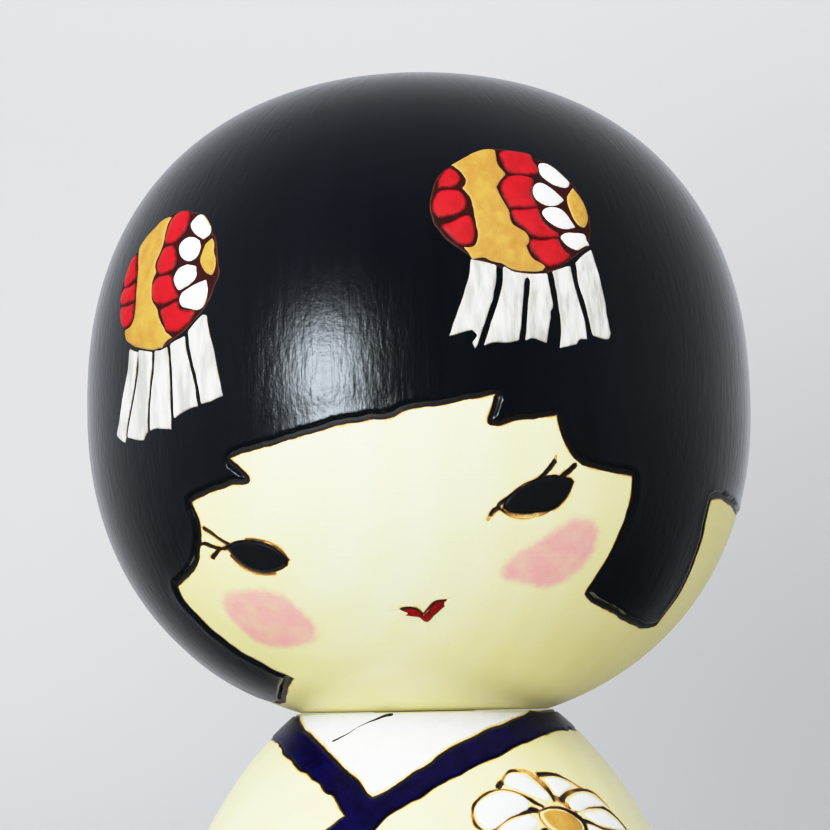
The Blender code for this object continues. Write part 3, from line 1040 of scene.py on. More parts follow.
RIGHT_RED = (
    [(-5.8, 5.7), (-5.2, 5.3), (-4.8, 4.5), (-4.8, 3.9), (-5.2, 3.3), (-5.8, 2.95), (-6.6, 2.95), (-7.4, 3.0),
     (-7.4, 3.7), (-7.0, 4.6), (-6.4, 5.4)],
    [(-7.7, 2.4), (-7.1, 2.8), (-5.9, 2.85), (-5.1, 2.6), (-4.6, 1.6), (-4.6, 0.7), (-5.1, -0.1),
     (-5.8, -0.45), (-6.8, -0.65), (-7.7, -0.75), (-8.3, 0.1), (-8.3, 1.2)],
    [(-7.7, -1.5), (-6.6, -1.1), (-5.4, -0.5), (-4.5, -0.4), (-4.1, -1.3), (-4.05, -2.3), (-4.2, -3.3),
     (-4.7, -3.95), (-5.4, -4.1), (-6.1, -3.8), (-6.9, -2.9)],
    [(-0.1, 7.7), (0.5, 8.2), (2.2, 8.2), (3.7, 7.8), (3.8, 6.9), (4.1, 6.1), (4.0, 5.2), (3.1, 4.75),
     (2.0, 4.7), (0.8, 4.8), (0.3, 5.2), (0.0, 6.2)],
    [(-0.7, 3.3), (0.0, 4.3), (1.0, 4.8), (2.3, 4.8), (3.3, 4.4), (3.1, 3.3), (2.8, 2.4), (3.0, 1.5),
     (3.3, 0.7), (2.4, 0.45), (1.0, 0.35), (0.0, 0.35), (-0.4, 1.1), (-0.7, 2.0)],
    [(0.1, 0.2), (1.3, 0.4), (3.2, 0.6), (3.4, -0.2), (3.7, -1.0), (4.5, -1.8), (5.2, -2.2), (5.2, -2.8),
     (4.2, -3.0), (3.2, -3.1), (2.0, -2.9), (1.3, -2.2), (0.6, -1.6), (0.1, -0.8)],
    [(1.8, -3.2), (3.1, -3.1), (5.0, -2.8), (5.4, -3.6), (5.8, -4.2), (6.4, -4.7), (5.5, -5.6), (4.2, -6.2),
     (3.3, -6.2), (2.6, -5.7), (2.1, -5.1), (1.6, -4.3)],
)
# each petal starts at its pointed tip
RIGHT_PETALS = (
    [(7.6, 4.5), (7.3, 3.8), (6.7, 3.6), (5.7, 3.75), (4.8, 4.3), (4.2, 5.0), (4.1, 5.8), (4.3, 6.6),
     (5.1, 6.8), (5.9, 6.4), (6.7, 5.6)],
    [(6.5, 2.0), (5.8, 1.35), (4.9, 1.0), (3.9, 1.05), (3.2, 1.5), (2.85, 2.2), (2.9, 3.0), (3.3, 3.7),
     (3.9, 4.0), (4.6, 3.8), (5.5, 3.1)],
    [(7.35, -1.3), (6.3, -1.65), (5.2, -1.6), (4.3, -1.1), (3.6, -0.3), (3.55, 0.2), (4.0, 0.7), (4.8, 0.95),
     (5.8, 0.85), (6.5, 0.2), (6.9, -0.5)],
    [(8.75, -3.15), (8.0, -3.5), (7.2, -4.0), (6.1, -3.7), (5.4, -3.0), (5.3, -2.6), (5.9, -2.1), (7.0, -1.9),
     (8.3, -1.95), (8.5, -2.6)],
)
RIGHT_LEAF = ([(7.8, 3.9)], [(8.2, 3.2), (8.7, 2.3), (9.05, 0.7), (8.9, -0.4), (8.4, -1.2)],
              [(7.7, -1.0), (7.2, -0.3), (6.9, 0.7), (6.75, 1.6), (6.85, 2.5), (7.3, 3.2)])
RIGHT_STRIPS = (
    ([(-5.2, -7.2), (-5.7, -8.6), (-6.2, -10.1), (-6.9, -11.7), (-7.6, -13.5)],
     [(-6.3, -13.2), (-5.2, -13.0)], [(-4.7, -13.5), (-5.2, -14.2)], [(-4.9, -14.9)], [(-4.6, -14.5)],
     [(-4.1, -13.2), (-3.5, -11.6), (-2.8, -9.8), (-2.3, -7.8), (-2.1, -6.2)], [(-4.9, -5.4)]),
    ([(-1.65, -7.8), (-2.2, -9.8), (-2.9, -11.6), (-3.5, -13.2), (-4.0, -14.6)],
     [(-3.0, -14.3), (-1.5, -14.3), (-0.15, -14.1)],
     [(0.2, -12.2), (0.45, -10.0), (0.85, -7.9), (1.1, -7.5), (1.35, -7.9), (1.0, -10.0), (0.75, -12.2),
      (0.5, -14.1)],
     [(1.3, -13.8), (2.0, -14.0)], [(2.9, -14.3)],
     [(3.3, -12.6), (3.5, -11.0)], [(3.85, -10.4), (3.6, -8.7), (3.4, -6.9)],
     [(1.0, -7.0), (-0.2, -6.9), (-1.5, -6.2)]),
    ([(4.25, -8.8), (4.45, -10.6), (4.55, -12.7), (4.3, -14.7)], [(5.3, -14.4), (6.3, -14.1)],
     [(6.7, -13.6), (7.7, -13.5)], [(7.3, -11.1), (6.9, -9.6), (6.5, -8.1), (6.2, -5.8)], [(3.95, -6.6)]),
    ([(7.0, -7.8), (7.5, -9.5), (7.9, -11.4), (8.25, -13.0)], [(9.4, -13.2), (10.3, -13.1), (10.6, -12.4)],
     [(10.3, -11.2), (10.0, -8.8), (9.7, -6.9), (9.3, -5.1), (8.9, -3.5)], [(7.7, -4.5), (6.8, -5.4)]),
)

LEFT_BALL = [(-3.3, 8.0), (-2.2, 8.4), (-0.5, 8.4), (1.1, 7.9), (3.0, 7.3), (4.4, 6.2), (5.3, 5.1),
             (6.1, 4.1), (6.9, 2.3), (7.3, 1.0), (7.6, -0.3), (7.3, -1.5), (6.9, -2.8), (5.9, -4.3),
             (4.9, -5.1), (3.8, -6.0), (2.6, -6.6), (1.6, -7.0), (0.1, -7.7), (-1.9, -7.6), (-4.1, -7.2),
             (-6.1, -6.6), (-7.5, -5.5), (-8.3, -4.2), (-9.3, -2.9), (-9.9, -1.1), (-10.0, 0.3),
             (-9.8, 1.7), (-9.2, 3.2), (-8.4, 4.3), (-7.6, 5.2), (-6.5, 6.2), (-5.1, 7.3)]
LEFT_BAND = (
    [(-3.5, 7.9), (-4.9, 7.1), (-6.5, 6.1), (-7.4, 4.9), (-7.0, 3.6), (-6.4, 2.0), (-6.0, 0.0), (-5.7, -1.9),
     (-5.7, -3.4), (-6.2, -4.3), (-7.7, -4.6)],
    [(-7.1, -5.8), (-5.8, -6.6), (-3.6, -7.3), (-1.6, -7.7), (0.0, -7.6)],
    [(0.8, -7.0), (1.7, -6.7)],
    [(0.6, -6.0), (-0.1, -5.2), (-0.8, -4.2), (-1.2, -3.3)],
    [(-1.8, -2.7), (-2.5, -1.9), (-2.8, -0.7), (-2.8, 0.3), (-2.4, 1.1)],
    [(-2.9, 2.2), (-2.5, 3.4), (-2.3, 4.7), (-2.5, 6.1), (-2.5, 7.1), (-2.2, 7.8)],
)
LEFT_RED = (
    [(-8.4, 4.1), (-7.5, 4.2), (-6.9, 2.9), (-6.5, 1.3), (-7.4, 0.6), (-8.9, 0.4), (-9.4, 1.5), (-9.1, 2.9)],
    [(-9.0, 0.5), (-7.6, 0.5), (-6.3, 0.6), (-6.0, -0.7), (-6.0, -1.6), (-7.4, -1.7), (-9.2, -1.5),
     (-9.6, -0.5)],
    [(-9.1, -1.7), (-7.3, -1.8), (-6.0, -1.8), (-5.9, -3.1), (-6.3, -4.2), (-7.9, -4.4), (-8.9, -3.4),
     (-9.2, -2.5)],
    [(-0.4, 8.3), (1.0, 7.9), (1.4, 6.8), (1.3, 5.6), (0.6, 4.7), (-0.4, 4.1), (-2.0, 4.5), (-2.3, 6.1),
     (-2.2, 7.1), (-1.6, 8.0)],
    [(-1.9, 3.9), (-0.2, 4.0), (0.7, 2.8), (1.0, 1.9), (0.6, 1.0), (-0.4, 0.6), (-1.8, 0.7), (-2.6, 1.9),
     (-2.4, 2.9)],
    [(-2.0, 0.5), (-0.6, 0.6), (0.6, 0.4), (1.1, -0.7), (1.9, -1.7), (2.2, -2.4), (0.9, -2.9), (-0.8, -2.9),
     (-2.0, -2.4), (-2.7, -1.3), (-2.7, -0.2)],
    [(-0.7, -3.5), (0.7, -3.0), (2.2, -2.7), (2.5, -3.5), (3.8, -3.9), (4.9, -4.1), (4.7, -4.9), (3.6, -5.9),
     (2.1, -6.3), (0.7, -6.0), (-0.1, -4.8)],
)
LEFT_PETALS = (
    [(4.5, 3.95), (3.4, 4.5), (2.3, 5.3), (1.7, 6.2), (2.1, 6.9), (2.9, 7.3), (4.3, 6.3), (5.15, 5.2),
     (5.3, 4.5)],
    [(4.4, 3.2), (4.3, 2.4), (3.9, 1.8), (2.8, 1.6), (1.6, 2.2), (0.9, 3.1), (0.8, 3.9), (1.7, 4.6),
     (2.9, 4.5), (3.9, 4.0)],
    [(4.25, 0.95), (4.5, -0.3), (3.9, -1.0), (3.0, -1.4), (2.0, -1.6), (1.2, -0.8), (0.9, 0.0), (1.5, 1.0),
     (2.8, 1.35)],
    [(6.0, -0.75), (6.4, -1.8), (6.4, -2.9), (6.1, -3.7), (5.2, -4.15), (4.1, -3.9), (2.8, -3.5), (2.3, -2.8),
     (2.5, -2.0), (3.4, -1.5), (4.8, -1.0)],
)
LEFT_LEAF = ([(5.7, 4.1)], [(6.2, 3.4), (6.4, 2.4)], [(6.9, 1.4), (7.0, 0.3), (6.7, -0.4)],
             [(5.9, -0.1), (5.0, 0.8), (4.6, 1.6), (4.7, 2.5), (4.9, 3.4)])
LEFT_STRIPS = (
    ([(-6.6, -8.9), (-7.2, -10.5), (-7.9, -12.2), (-8.7, -14.1), (-9.7, -15.8)],
     [(-8.7, -16.5), (-7.8, -16.9)], [(-7.6, -16.6)],
     [(-6.9, -14.9), (-6.1, -13.3), (-5.3, -11.3), (-4.8, -9.3), (-4.55, -7.55)], [(-6.4, -6.8)]),
    ([(-4.4, -9.3), (-4.9, -11.3), (-5.7, -13.3), (-6.5, -14.9), (-7.2, -16.4)],
     [(-5.1, -16.9), (-3.8, -17.1)], [(-3.3, -16.6), (-2.9, -16.3)],
     [(-2.7, -14.2), (-2.3, -12.1), (-1.9, -10.1), (-1.8, -7.9)], [(-4.5, -7.3)]),
    ([(-1.5, -10.1), (-1.9, -12.1), (-2.3, -14.2),
      (-2.5, -16.3)], [(-1.6, -16.1), (0.0, -16.3),
                                                                    (1.2, -16.5)],
     [(1.3, -14.1), (1.3, -12.4), (1.2, -9.9), (0.8, -7.6)], [(-0.4, -7.8), (-1.4, -7.8)]),
    ([(1.6, -9.9), (1.7, -12.4), (1.7, -15.4)], [(3.0, -14.9), (4.5, -14.5), (5.4, -14.4)],
     [(5.0, -11.9), (4.5, -10.2), (3.9, -8.4), (3.5, -6.7)], [(2.4, -7.0), (1.2, -7.4)]),
    ([(4.3, -8.4), (4.9, -10.2), (5.4, -11.9), (5.8, -14.2)], [(7.2, -13.9), (8.8, -13.4)],
     [(8.5, -11.9), (8.1, -10.2), (7.6, -8.3), (7.0, -6.6), (6.5, -4.7)], [(5.9, -4.6)],
     [(5.0, -5.3), (3.9, -6.3)]),
)

# each ornament's side, place, ball, gold band, red lobes, white petals, gold leaf and tassel strips
ORNAMENTS = (
    ("right", RIGHT_ORNAMENT, RIGHT_BALL, RIGHT_BAND, RIGHT_RED, RIGHT_PETALS, RIGHT_LEAF, RIGHT_STRIPS),
    ("left", LEFT_ORNAMENT, LEFT_BALL, LEFT_BAND, LEFT_RED, LEFT_PETALS, LEFT_LEAF, LEFT_STRIPS),
)

# ---------------------------------------------------------------- the body's drawing

# the collar's inner edge, from the right of the neck down to the crossing and up to the left
COLLAR_RIGHT_UPPER = [(52.0, 0.12), (47.5, 0.45), (37.7, 1.0), (29.7, 1.6), (21.9, 2.2), (16.4, 2.85),
                      (11.7, 3.4), (7.2, 4.1), (3.4, 4.9), (1.7, 5.4), (-1.1, 6.0), (-2.9, 6.3),
                      (-5.7, 7.0), (-9.9, 8.1), (-12.1, 8.6), (-14.8, 9.0)]
COLLAR_LEFT_INNER = [(-16.7, 8.5), (-18.1, 7.9), (-19.9, 7.2), (-22.2, 6.7), (-25.2, 6.0), (-28.3, 5.3),
                     (-31.6, 4.6), (-34.0, 4.2), (-37.4, 3.6), (-45.1, 2.5), (-52.9, 1.8), (-59.9, 1.1),
                     (-72.0, 0.12)]
COLLAR_BACK_RIM = [(-90, 0.1), (-120, 0.1), (-150, 0.1), (-180, 0.1), (-210, 0.1), (-240, 0.1), (-270, 0.1),
                   (-290, 0.1), (-308, 0.12)]
COLLAR_HOLE = loop(BODY, COLLAR_RIGHT_UPPER[1:], COLLAR_LEFT_INNER, COLLAR_BACK_RIM, step=COARSE_STEP)
COLLAR_OUTSIDE = loop(
    BODY,
    [(-95, 2.6), (-77.0, 2.9), (-65.0, 3.3), (-57.7, 4.1), (-50.6, 4.9), (-45.1, 5.7), (-40.8, 6.4),
     (-37.3, 6.8), (-34.6, 7.3), (-32.2, 7.7), (-30.1, 8.4), (-28.4, 8.8), (-26.9, 8.9), (-25.2, 9.5),
     (-23.3, 10.3), (-21.6, 11.0)],
    [(-23.3, 11.4), (-26.3, 12.5), (-30.5, 14.6), (-36.0, 18.2), (-41.0, 23.2), (-44.5, 29.5), (-46.3, 37.0),
     (-46.8, 46.0), (-46.6, 56.0), (-46.0, 69.5)],
    [(-38.4, 69.6)],
    [(-38.8, 56.0), (-39.0, 46.0), (-38.2, 37.6), (-36.0, 31.0), (-32.4, 25.4), (-27.2, 20.4),
     (-21.4, 16.6), (-16.6, 14.2), (-12.9, 12.5), (-10.4, 11.3), (-8.7, 10.8), (-5.6, 10.1), (-2.8, 9.5),
     (0.2, 8.6), (2.6, 8.0), (6.7, 7.4), (10.2, 6.9), (12.7, 6.4), (15.8, 6.0), (19.6, 5.5), (24.3, 5.0),
     (30.4, 4.3), (36.2, 3.7), (44.4, 3.1), (50.2, 2.7), (58.5, 2.5), (68.0, 2.4), (90, 2.4), (120, 2.5),
     (150, 2.5), (180, 2.5), (210, 2.5), (240, 2.5), (265, 2.6)],
    step=COARSE_STEP)
COLLAR_OUTSIDE = roughened(BODY, COLLAR_OUTSIDE, 0.09, 1.3, 31)
COLLAR_HOLE = roughened(BODY, COLLAR_HOLE, 0.03, 1.3, 32)

UNDER_COLLAR = loop(
    BODY,
    [(46.0, 0.4), (37.7, 0.9), (29.7, 1.45), (21.9, 2.05), (16.4, 2.7), (11.7, 3.2), (7.2, 3.9), (3.4, 4.7),
     (-1.1, 5.8), (-5.7, 6.8), (-9.9, 7.9), (-14.6, 8.7)],
    [(-16.7, 8.2), (-19.7, 7.0), (-22.2, 6.4), (-25.2, 5.8), (-28.3, 5.1), (-34.0, 4.0), (-37.4, 3.3),
     (-45.1, 2.3), (-52.9, 1.6), (-59.9, 0.9), (-70.0, 0.1)],
    [(-55, 0.07), (-35, 0.07), (-15, 0.07), (5, 0.07), (25, 0.07), (50.0, 0.1)],
    step=COARSE_STEP)
UNDER_COLLAR_LINE = [(-14.2, 0.35), (-16.7, 0.45), (-20.2, 0.85), (-24.1, 1.3), (-27.2, 1.8), (-29.6, 2.4),
                     (-31.8, 2.8), (-33.8, 3.1)]

# one flower, in millimetres about its centre: a petal is an outline, a vein is (points, widths, heats)
FLOWER_PETALS = (
    [(-9.8, 1.7), (-9.3, 3.1), (-8.0, 3.8), (-6.4, 4.1), (-4.9, 3.9), (-3.7, 3.2), (-3.3, 2.5), (-3.7, 1.7),
     (-4.9, 1.3), (-6.4, 0.9), (-7.3, 0.4), (-8.2, 0.0), (-9.1, 0.1), (-9.7, 0.8)],
    [(-5.2, 5.2), (-4.3, 6.1), (-3.2, 6.2), (-2.2, 5.8), (-1.6, 5.0), (-0.9, 4.0), (-0.3, 3.1), (-0.7, 2.5),
     (-1.9, 2.8), (-3.1, 3.5), (-4.3, 4.3)],
    [(0.0, 5.3), (1.4, 5.4), (2.6, 5.0), (3.6, 4.3), (2.6, 3.8), (1.7, 3.2), (1.1, 2.9), (0.5, 3.4),
     (0.3, 4.3)],
    [(1.9, 1.8), (2.6, 2.7), (4.0, 3.3), (5.6, 3.4), (6.8, 2.9), (7.9, 2.1), (6.1, 1.75), (4.6, 1.5),
     (3.4, 1.0), (2.4, 1.1)],
    [(3.6, 0.7), (5.1, 1.1), (7.0, 1.3), (8.1, 0.8), (9.1, 0.2), (10.0, -0.7), (8.4, -0.9), (6.2, -0.7),
     (4.4, -0.1)],
    [(3.5, -0.6), (5.0, -1.0), (7.0, -1.5), (9.3, -1.6), (10.2, -2.4), (9.4, -3.5), (7.4, -3.5), (5.4, -2.7),
     (3.7, -1.6)],
    [(3.0, -2.0), (4.4, -2.7), (6.6, -4.1), (8.3, -5.0), (8.4, -6.2), (7.0, -6.8), (5.0, -5.8), (3.4, -4.2),
     (2.5, -2.8)],
    [(1.5, -2.7), (2.6, -4.3), (3.9, -6.1), (4.4, -7.7), (3.4, -8.6), (2.0, -8.2), (1.2, -6.4), (0.8, -4.5),
     (0.8, -3.1)],
    [(-0.1, -2.7), (0.0, -4.5), (0.0, -6.6), (-0.6, -8.4), (-2.0, -8.7), (-3.0, -7.6), (-2.5, -5.6),
     (-1.6, -3.8), (-0.9, -2.5)],
    [(-1.5, -1.9), (-2.5, -3.4), (-3.8, -5.4), (-5.4, -6.6), (-6.9, -6.2), (-7.1, -4.9), (-5.5, -3.3),
     (-3.6, -1.9), (-2.2, -1.1)],
    [(-3.5, 0.5), (-3.7, 1.0), (-5.3, 0.8), (-6.9, 0.4), (-8.2, -0.5), (-9.4, -1.5), (-9.4, -2.7),
     (-8.0, -3.2), (-6.0, -2.2), (-4.2, -0.9), (-3.0, -0.1)],
)
FLOWER_CENTRE = [(-2.2, 0.9), (-0.9, 1.3), (0.9, 1.0), (2.1, 0.3), (2.7, -0.7), (2.2, -1.6), (0.8, -1.9),
                 (-0.7, -1.4), (-1.8, -0.6)]
FLOWER_VEINS = (
    ([(-10.1, 2.0), (-9.6, 3.1), (-8.5, 3.95), (-7.0, 4.4), (-5.4, 4.3), (-4.2, 3.8), (-3.2, 3.0),
      (-2.5, 2.3), (-1.8, 1.8)], (0.16, 0.36, 0.28, 0.26, 0.16, 0.16, 0.2, 0.5, 0.34),
     (0.3, 0.95, 0.6, 0.75, 0.35, 0.35, 0.45, 1.0, 0.75)),
    ([(-10.1, 2.0), (-10.2, 1.0), (-9.5, -0.1)], (0.16, 0.36, 0.18), (0.3, 0.9, 0.35)),
    ([(-6.1, 4.7), (-5.6, 5.2)], (0.8, 0.7), (1.0, 1.0)),
    ([(-5.3, 5.6), (-4.6, 6.3), (-3.7, 6.55), (-2.9, 6.5)], (0.2, 0.2, 0.4, 0.3), (0.35, 0.35, 0.85, 0.7)),
    ([(-2.9, 6.5), (-2.0, 6.3), (-1.2, 5.4), (-0.5, 4.4), (-0.05, 3.5), (0.1, 2.5)],
     (0.16, 0.3, 0.6, 0.66, 0.5, 0.36), (0.2, 0.2, 0.28, 0.3, 0.95, 0.95)),
    ([(-0.5, 5.8), (0.8, 5.85), (2.2, 5.7), (3.3, 5.1), (4.4, 4.4), (5.0, 4.1)],
     (0.64, 0.54, 0.44, 0.26, 0.2, 0.2), (1.0, 1.0, 0.95, 0.6, 0.3, 0.3)),
    ([(1.1, 2.4), (1.7, 2.9), (2.8, 3.4), (4.2, 3.75), (5.8, 3.8), (6.9, 3.5), (7.7, 2.8), (8.5, 2.0)],
     (0.76, 0.54, 0.44, 0.36, 0.34, 0.26, 0.16, 0.12), (1.0, 0.7, 0.4, 0.8, 0.9, 0.6, 0.35, 0.2)),
    ([(0.3, 2.9), (0.9, 2.4), (1.7, 1.7)], (0.4, 0.7, 0.5), (0.5, 0.25, 0.3)),
    ([(2.7, 1.1), (3.6, 1.3), (4.9, 1.6), (7.0, 1.8), (8.2, 1.5), (9.4, 0.6), (10.4, -0.6)],
     (0.2, 0.24, 0.3, 0.44, 0.4, 0.28, 0.3), (0.4, 0.45, 0.7, 0.9, 0.85, 0.8, 0.8)),
    ([(3.3, -0.1), (4.4, -0.45), (6.2, -1.0), (8.6, -1.2), (10.2, -1.4), (10.8, -2.5), (9.8, -3.8)],
     (0.5, 0.3, 0.26, 0.3, 0.34, 0.34, 0.4), (0.95, 0.8, 0.6, 0.5, 0.7, 0.8, 0.6)),
    ([(3.2, -1.6), (4.9, -2.6), (7.3, -3.9), (9.0, -4.6), (9.1, -6.4), (7.2, -7.3), (5.4, -6.6)],
     (0.6, 0.34, 0.28, 0.4, 0.4, 0.34, 0.3), (1.0, 0.7, 0.5, 0.9, 0.8, 0.5, 0.6)),
    ([(2.2, -2.7), (3.4, -4.6), (4.9, -6.7), (4.9, -8.3), (3.3, -9.1), (1.8, -8.8)],
     (0.6, 0.34, 0.3, 0.44, 0.4, 0.3), (1.0, 0.7, 0.5, 0.9, 0.8, 0.5)),
    ([(0.5, -2.7), (0.4, -4.6), (0.6, -6.8), (0.0, -8.7), (-2.0, -9.2), (-3.4, -8.2)],
     (0.7, 0.36, 0.3, 0.36, 0.44, 0.36), (1.0, 0.7, 0.5, 0.7, 0.95, 0.7)),
    ([(-1.2, -2.3), (-2.1, -4.0), (-3.2, -6.2), (-4.7, -7.1), (-6.6, -6.9), (-7.6, -5.6), (-6.7, -4.0)],
     (0.6, 0.34, 0.3, 0.44, 0.36, 0.4, 0.3), (1.0, 0.7, 0.6, 0.95, 0.7, 0.8, 0.5)),
    ([(-2.4, -0.9), (-4.0, -1.8), (-6.0, -3.2), (-8.4, -3.7), (-10.0, -2.9), (-9.9, -1.2), (-8.6, -0.2),
      (-6.9, 0.7), (-5.3, 1.15), (-3.7, 1.35)],
     (0.7, 0.34, 0.3, 0.42, 0.4, 0.3, 0.3, 0.28, 0.26, 0.5),
     (1.0, 0.7, 0.6, 0.9, 0.9, 0.6, 0.5, 0.5, 0.6, 1.0)),
    ([(-3.9, 1.55), (-3.2, 1.5), (-2.7, 1.35)], (0.4, 0.75, 0.6), (1.0, 1.0, 0.9)),
    ([(-2.6, 1.2), (-1.2, 1.6), (0.6, 1.45), (2.0, 0.8), (3.0, -0.2), (3.0, -1.5), (1.8, -2.2), (0.2, -2.2),
      (-1.2, -1.6), (-2.3, -0.6), (-2.7, 0.4), (-2.5, 1.2)],
     (0.2, 0.26, 0.3, 0.44, 0.66, 0.5, 0.36, 0.4, 0.36, 0.14, 0.12, 0.16),
     (0.5, 0.7, 0.75, 0.9, 1.0, 0.9, 0.6, 0.8, 0.9, 0.3, 0.2, 0.4)),
)
# where the flowers are: angle round the body, depth below its top, turn and size
FLOWERS = ((36.0, 12.0, 0, 1.0), (2.0, 38.0, -35, 1.05), (74.0, 40.0, 20, 0.95), (-82.0, 26.0, 40, 1.0),
           (122.0, 20.0, -20, 0.9), (176.0, 40.0, 15, 1.1), (-128.0, 50.0, -40, 0.95))

# ---------------------------------------------------------------- the pieces


def on(obj, body):
    """The piece rides on a CAD body."""
    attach(obj, body)
    return obj


def head_pieces():
    """Bare wood, hair, eyes, lips and the two hair ornaments."""
    bore_end = HEAD_BASE + HEAD_BORE_DEPTH
    neck = float(HEAD.radius[0])
    seat = HEAD_BASE - SEAT_DROP
    underside = [(neck - 0.1, seat - 0.025), (neck - 0.3, seat - 0.04), (neck - 0.9, seat - 0.04),
                 (HEAD_BORE + 0.9, seat - 0.04), (HEAD_BORE + 0.4, seat - 0.04), (HEAD_BORE, HEAD_BASE + 0.4),
                 (HEAD_BORE, HEAD_BASE + 1.0), (HEAD_BORE, bore_end - 0.6), (HEAD_BORE, bore_end - 0.1),
                 (HEAD_BORE - 0.1, bore_end), (HEAD_BORE - 0.7, bore_end), (0, bore_end)]
    skin = wood_skin("head_wood", HEAD, [HAIR_LOOP, LEFT_EYE, RIGHT_EYE], HEAD_BURNS,
                     [LEFT_CHEEK, RIGHT_CHEEK], 1.25, [underside], HEAD_WOOD)
    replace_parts(on(skin, "head"), "head")

    on(film("hair", HEAD, [[HAIR_LOOP]], HAIR_FILM, 1.15, HAIR), "head")
    eye_film = [(0, -0.34), (0.12, -0.22), (0.2, -0.1), (0.3, 0.02), (0.42, 0.07), (0.7, 0.08)]
    on(film("eyes", HEAD, [[LEFT_EYE], [RIGHT_EYE]], eye_film, 0.5, EYE), "head")
    lip_film = [(0, -0.04), (0.06, 0.03), (0.15, 0.09), (0.3, 0.13)]
    on(film("lips", HEAD, [[LIPS]], lip_film, 0.3, LIP), "head")

    for side, place, ball, band, red, petals, leaf, strips in ORNAMENTS:
        ground = roughened(HEAD, loop(place, ball), 0.05, 1.0, 41)
        on(film(side + "_ball_ground", HEAD, [[ground]], GROUND_FILM, 0.8, GROUND), "head")
        lobes = [[loop(place, shape, step=FINE_STEP)] for shape in red]
        on(film(side + "_ball_red", HEAD, lobes, LOBE_FILM, 0.45, RED), "head")
        gold_band = roughened(HEAD, loop(place, *band, step=FINE_STEP), 0.03, 0.5, 42)
        gold_leaf = loop(place, *leaf, step=FINE_STEP)
        lumpy = uneven(0.035, 1.1, 43)
        on(film(side + "_ball_gold", HEAD, [[gold_band], [gold_leaf]], GOLD_FILM, 0.32, GOLD, lumpy), "head")
        white = [[loop(place, shape[:1], shape[1:], step=FINE_STEP)] for shape in petals]
        on(film(side + "_ball_petals", HEAD, white, LOBE_FILM, 0.4, WHITE), "head")
        cords = [[roughened(HEAD, loop(place, *strip, step=0.25), 0.03, 0.8, 44 + n)]
                 for n, strip in enumerate(strips)]
        strokes = uneven(0.03, 0.9, 45, (1.0, 1.0, 0.22))
        on(film(side + "_tassel", HEAD, cords, STRIP_FILM, 0.4, TASSEL, strokes), "head")


def body_pieces():
    """Bare wood, the kimono's collar, the white collar under it and the flowers."""
    flowers = [Patch(BODY, *spot) for spot in FLOWERS]
    burns = [Burn(place, points, np.array(widths) * place.size, heats, step=0.34, rough=0.03, seed=60 + n)
             for place in flowers for n, (points, widths, heats) in enumerate(FLOWER_VEINS)]
    top, foot = float(BODY.radius[0]), float(BODY.radius[-1])
    bore_end = BODY_TOP - BODY_BORE_DEPTH
    neck_end = [(top - 0.03, BODY_TOP - 0.01), (top - 0.08, BODY_TOP), (top - 0.5, BODY_TOP),
                (BODY_BORE + 1.1, BODY_TOP), (BODY_BORE + 0.6, BODY_TOP), (BODY_BORE, BODY_TOP - 0.6),
                (BODY_BORE, BODY_TOP - 1.2), (BODY_BORE, bore_end + 0.6), (BODY_BORE, bore_end + 0.1),
                (BODY_BORE - 0.1, bore_end), (BODY_BORE - 0.7, bore_end), (0, bore_end)]
    foot_end = [(foot - 0.1, 0.55), (foot - 0.35, 0.2), (foot - FOOT_ROUND, 0.0), (foot - 1.5, 0.0),
                (FOOT_RING_INNER + 0.6, 0.0), (FOOT_RING_INNER, 0.1),
                (FOOT_RING_INNER - 0.7, FOOT_DISH - 0.1), (FOOT_RING_INNER - 1.2, FOOT_DISH),
                (FOOT_RING_INNER - 2.0, FOOT_DISH), (0, FOOT_DISH)]
    skin = wood_skin("body_wood", BODY, [COLLAR_OUTSIDE, COLLAR_HOLE], burns, [], 1.4, [neck_end, foot_end],
                     BODY_WOOD)
    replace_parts(on(skin, "body"), "body")

    band_film = [(0, -0.30), (0.14, -0.14), (0.26, -0.04), (0.36, 0.05), (0.5, 0.10), (0.8, 0.10)]
    on(film("collar_band", BODY, [[COLLAR_OUTSIDE, COLLAR_HOLE]], band_film, 1.0, NAVY), "body")
    on(film("under_collar", BODY, [[UNDER_COLLAR]], FLAT_FILM, 0.9, UNDER_WHITE), "body")
    stroke = roughened(BODY, line(BODY, UNDER_COLLAR_LINE, 0.2), 0.03, 1.0, 33, closed=False)
    stroke = ribbon(BODY, stroke, (0.62, 0.5, 0.3, 0.24, 0.34, 0.46))
    line_film = [(0, 0.06), (0.08, 0.125), (0.2, 0.14)]
    on(film("under_collar_line", BODY, [[stroke]], line_film, 0.3, BURNT), "body")
    petals = [[loop(place, shape)] for place in flowers for shape in FLOWER_PETALS]
    petal_film = [(0, -0.06), (0.1, 0.03), (0.25, 0.09), (0.6, 0.13), (1.1, 0.15)]
    on(film("flower_petals", BODY, petals, petal_film, 0.55, FLOWER_WHITE), "body")
    centres = [[loop(place, FLOWER_CENTRE)] for place in flowers]
    lumpy = uneven(0.03, 0.9, 47)
    on(film("flower_centres", BODY, centres, petal_film, 0.4, GOLD, lumpy), "body")


# ---------------------------------------------------------------- stage, light and camera


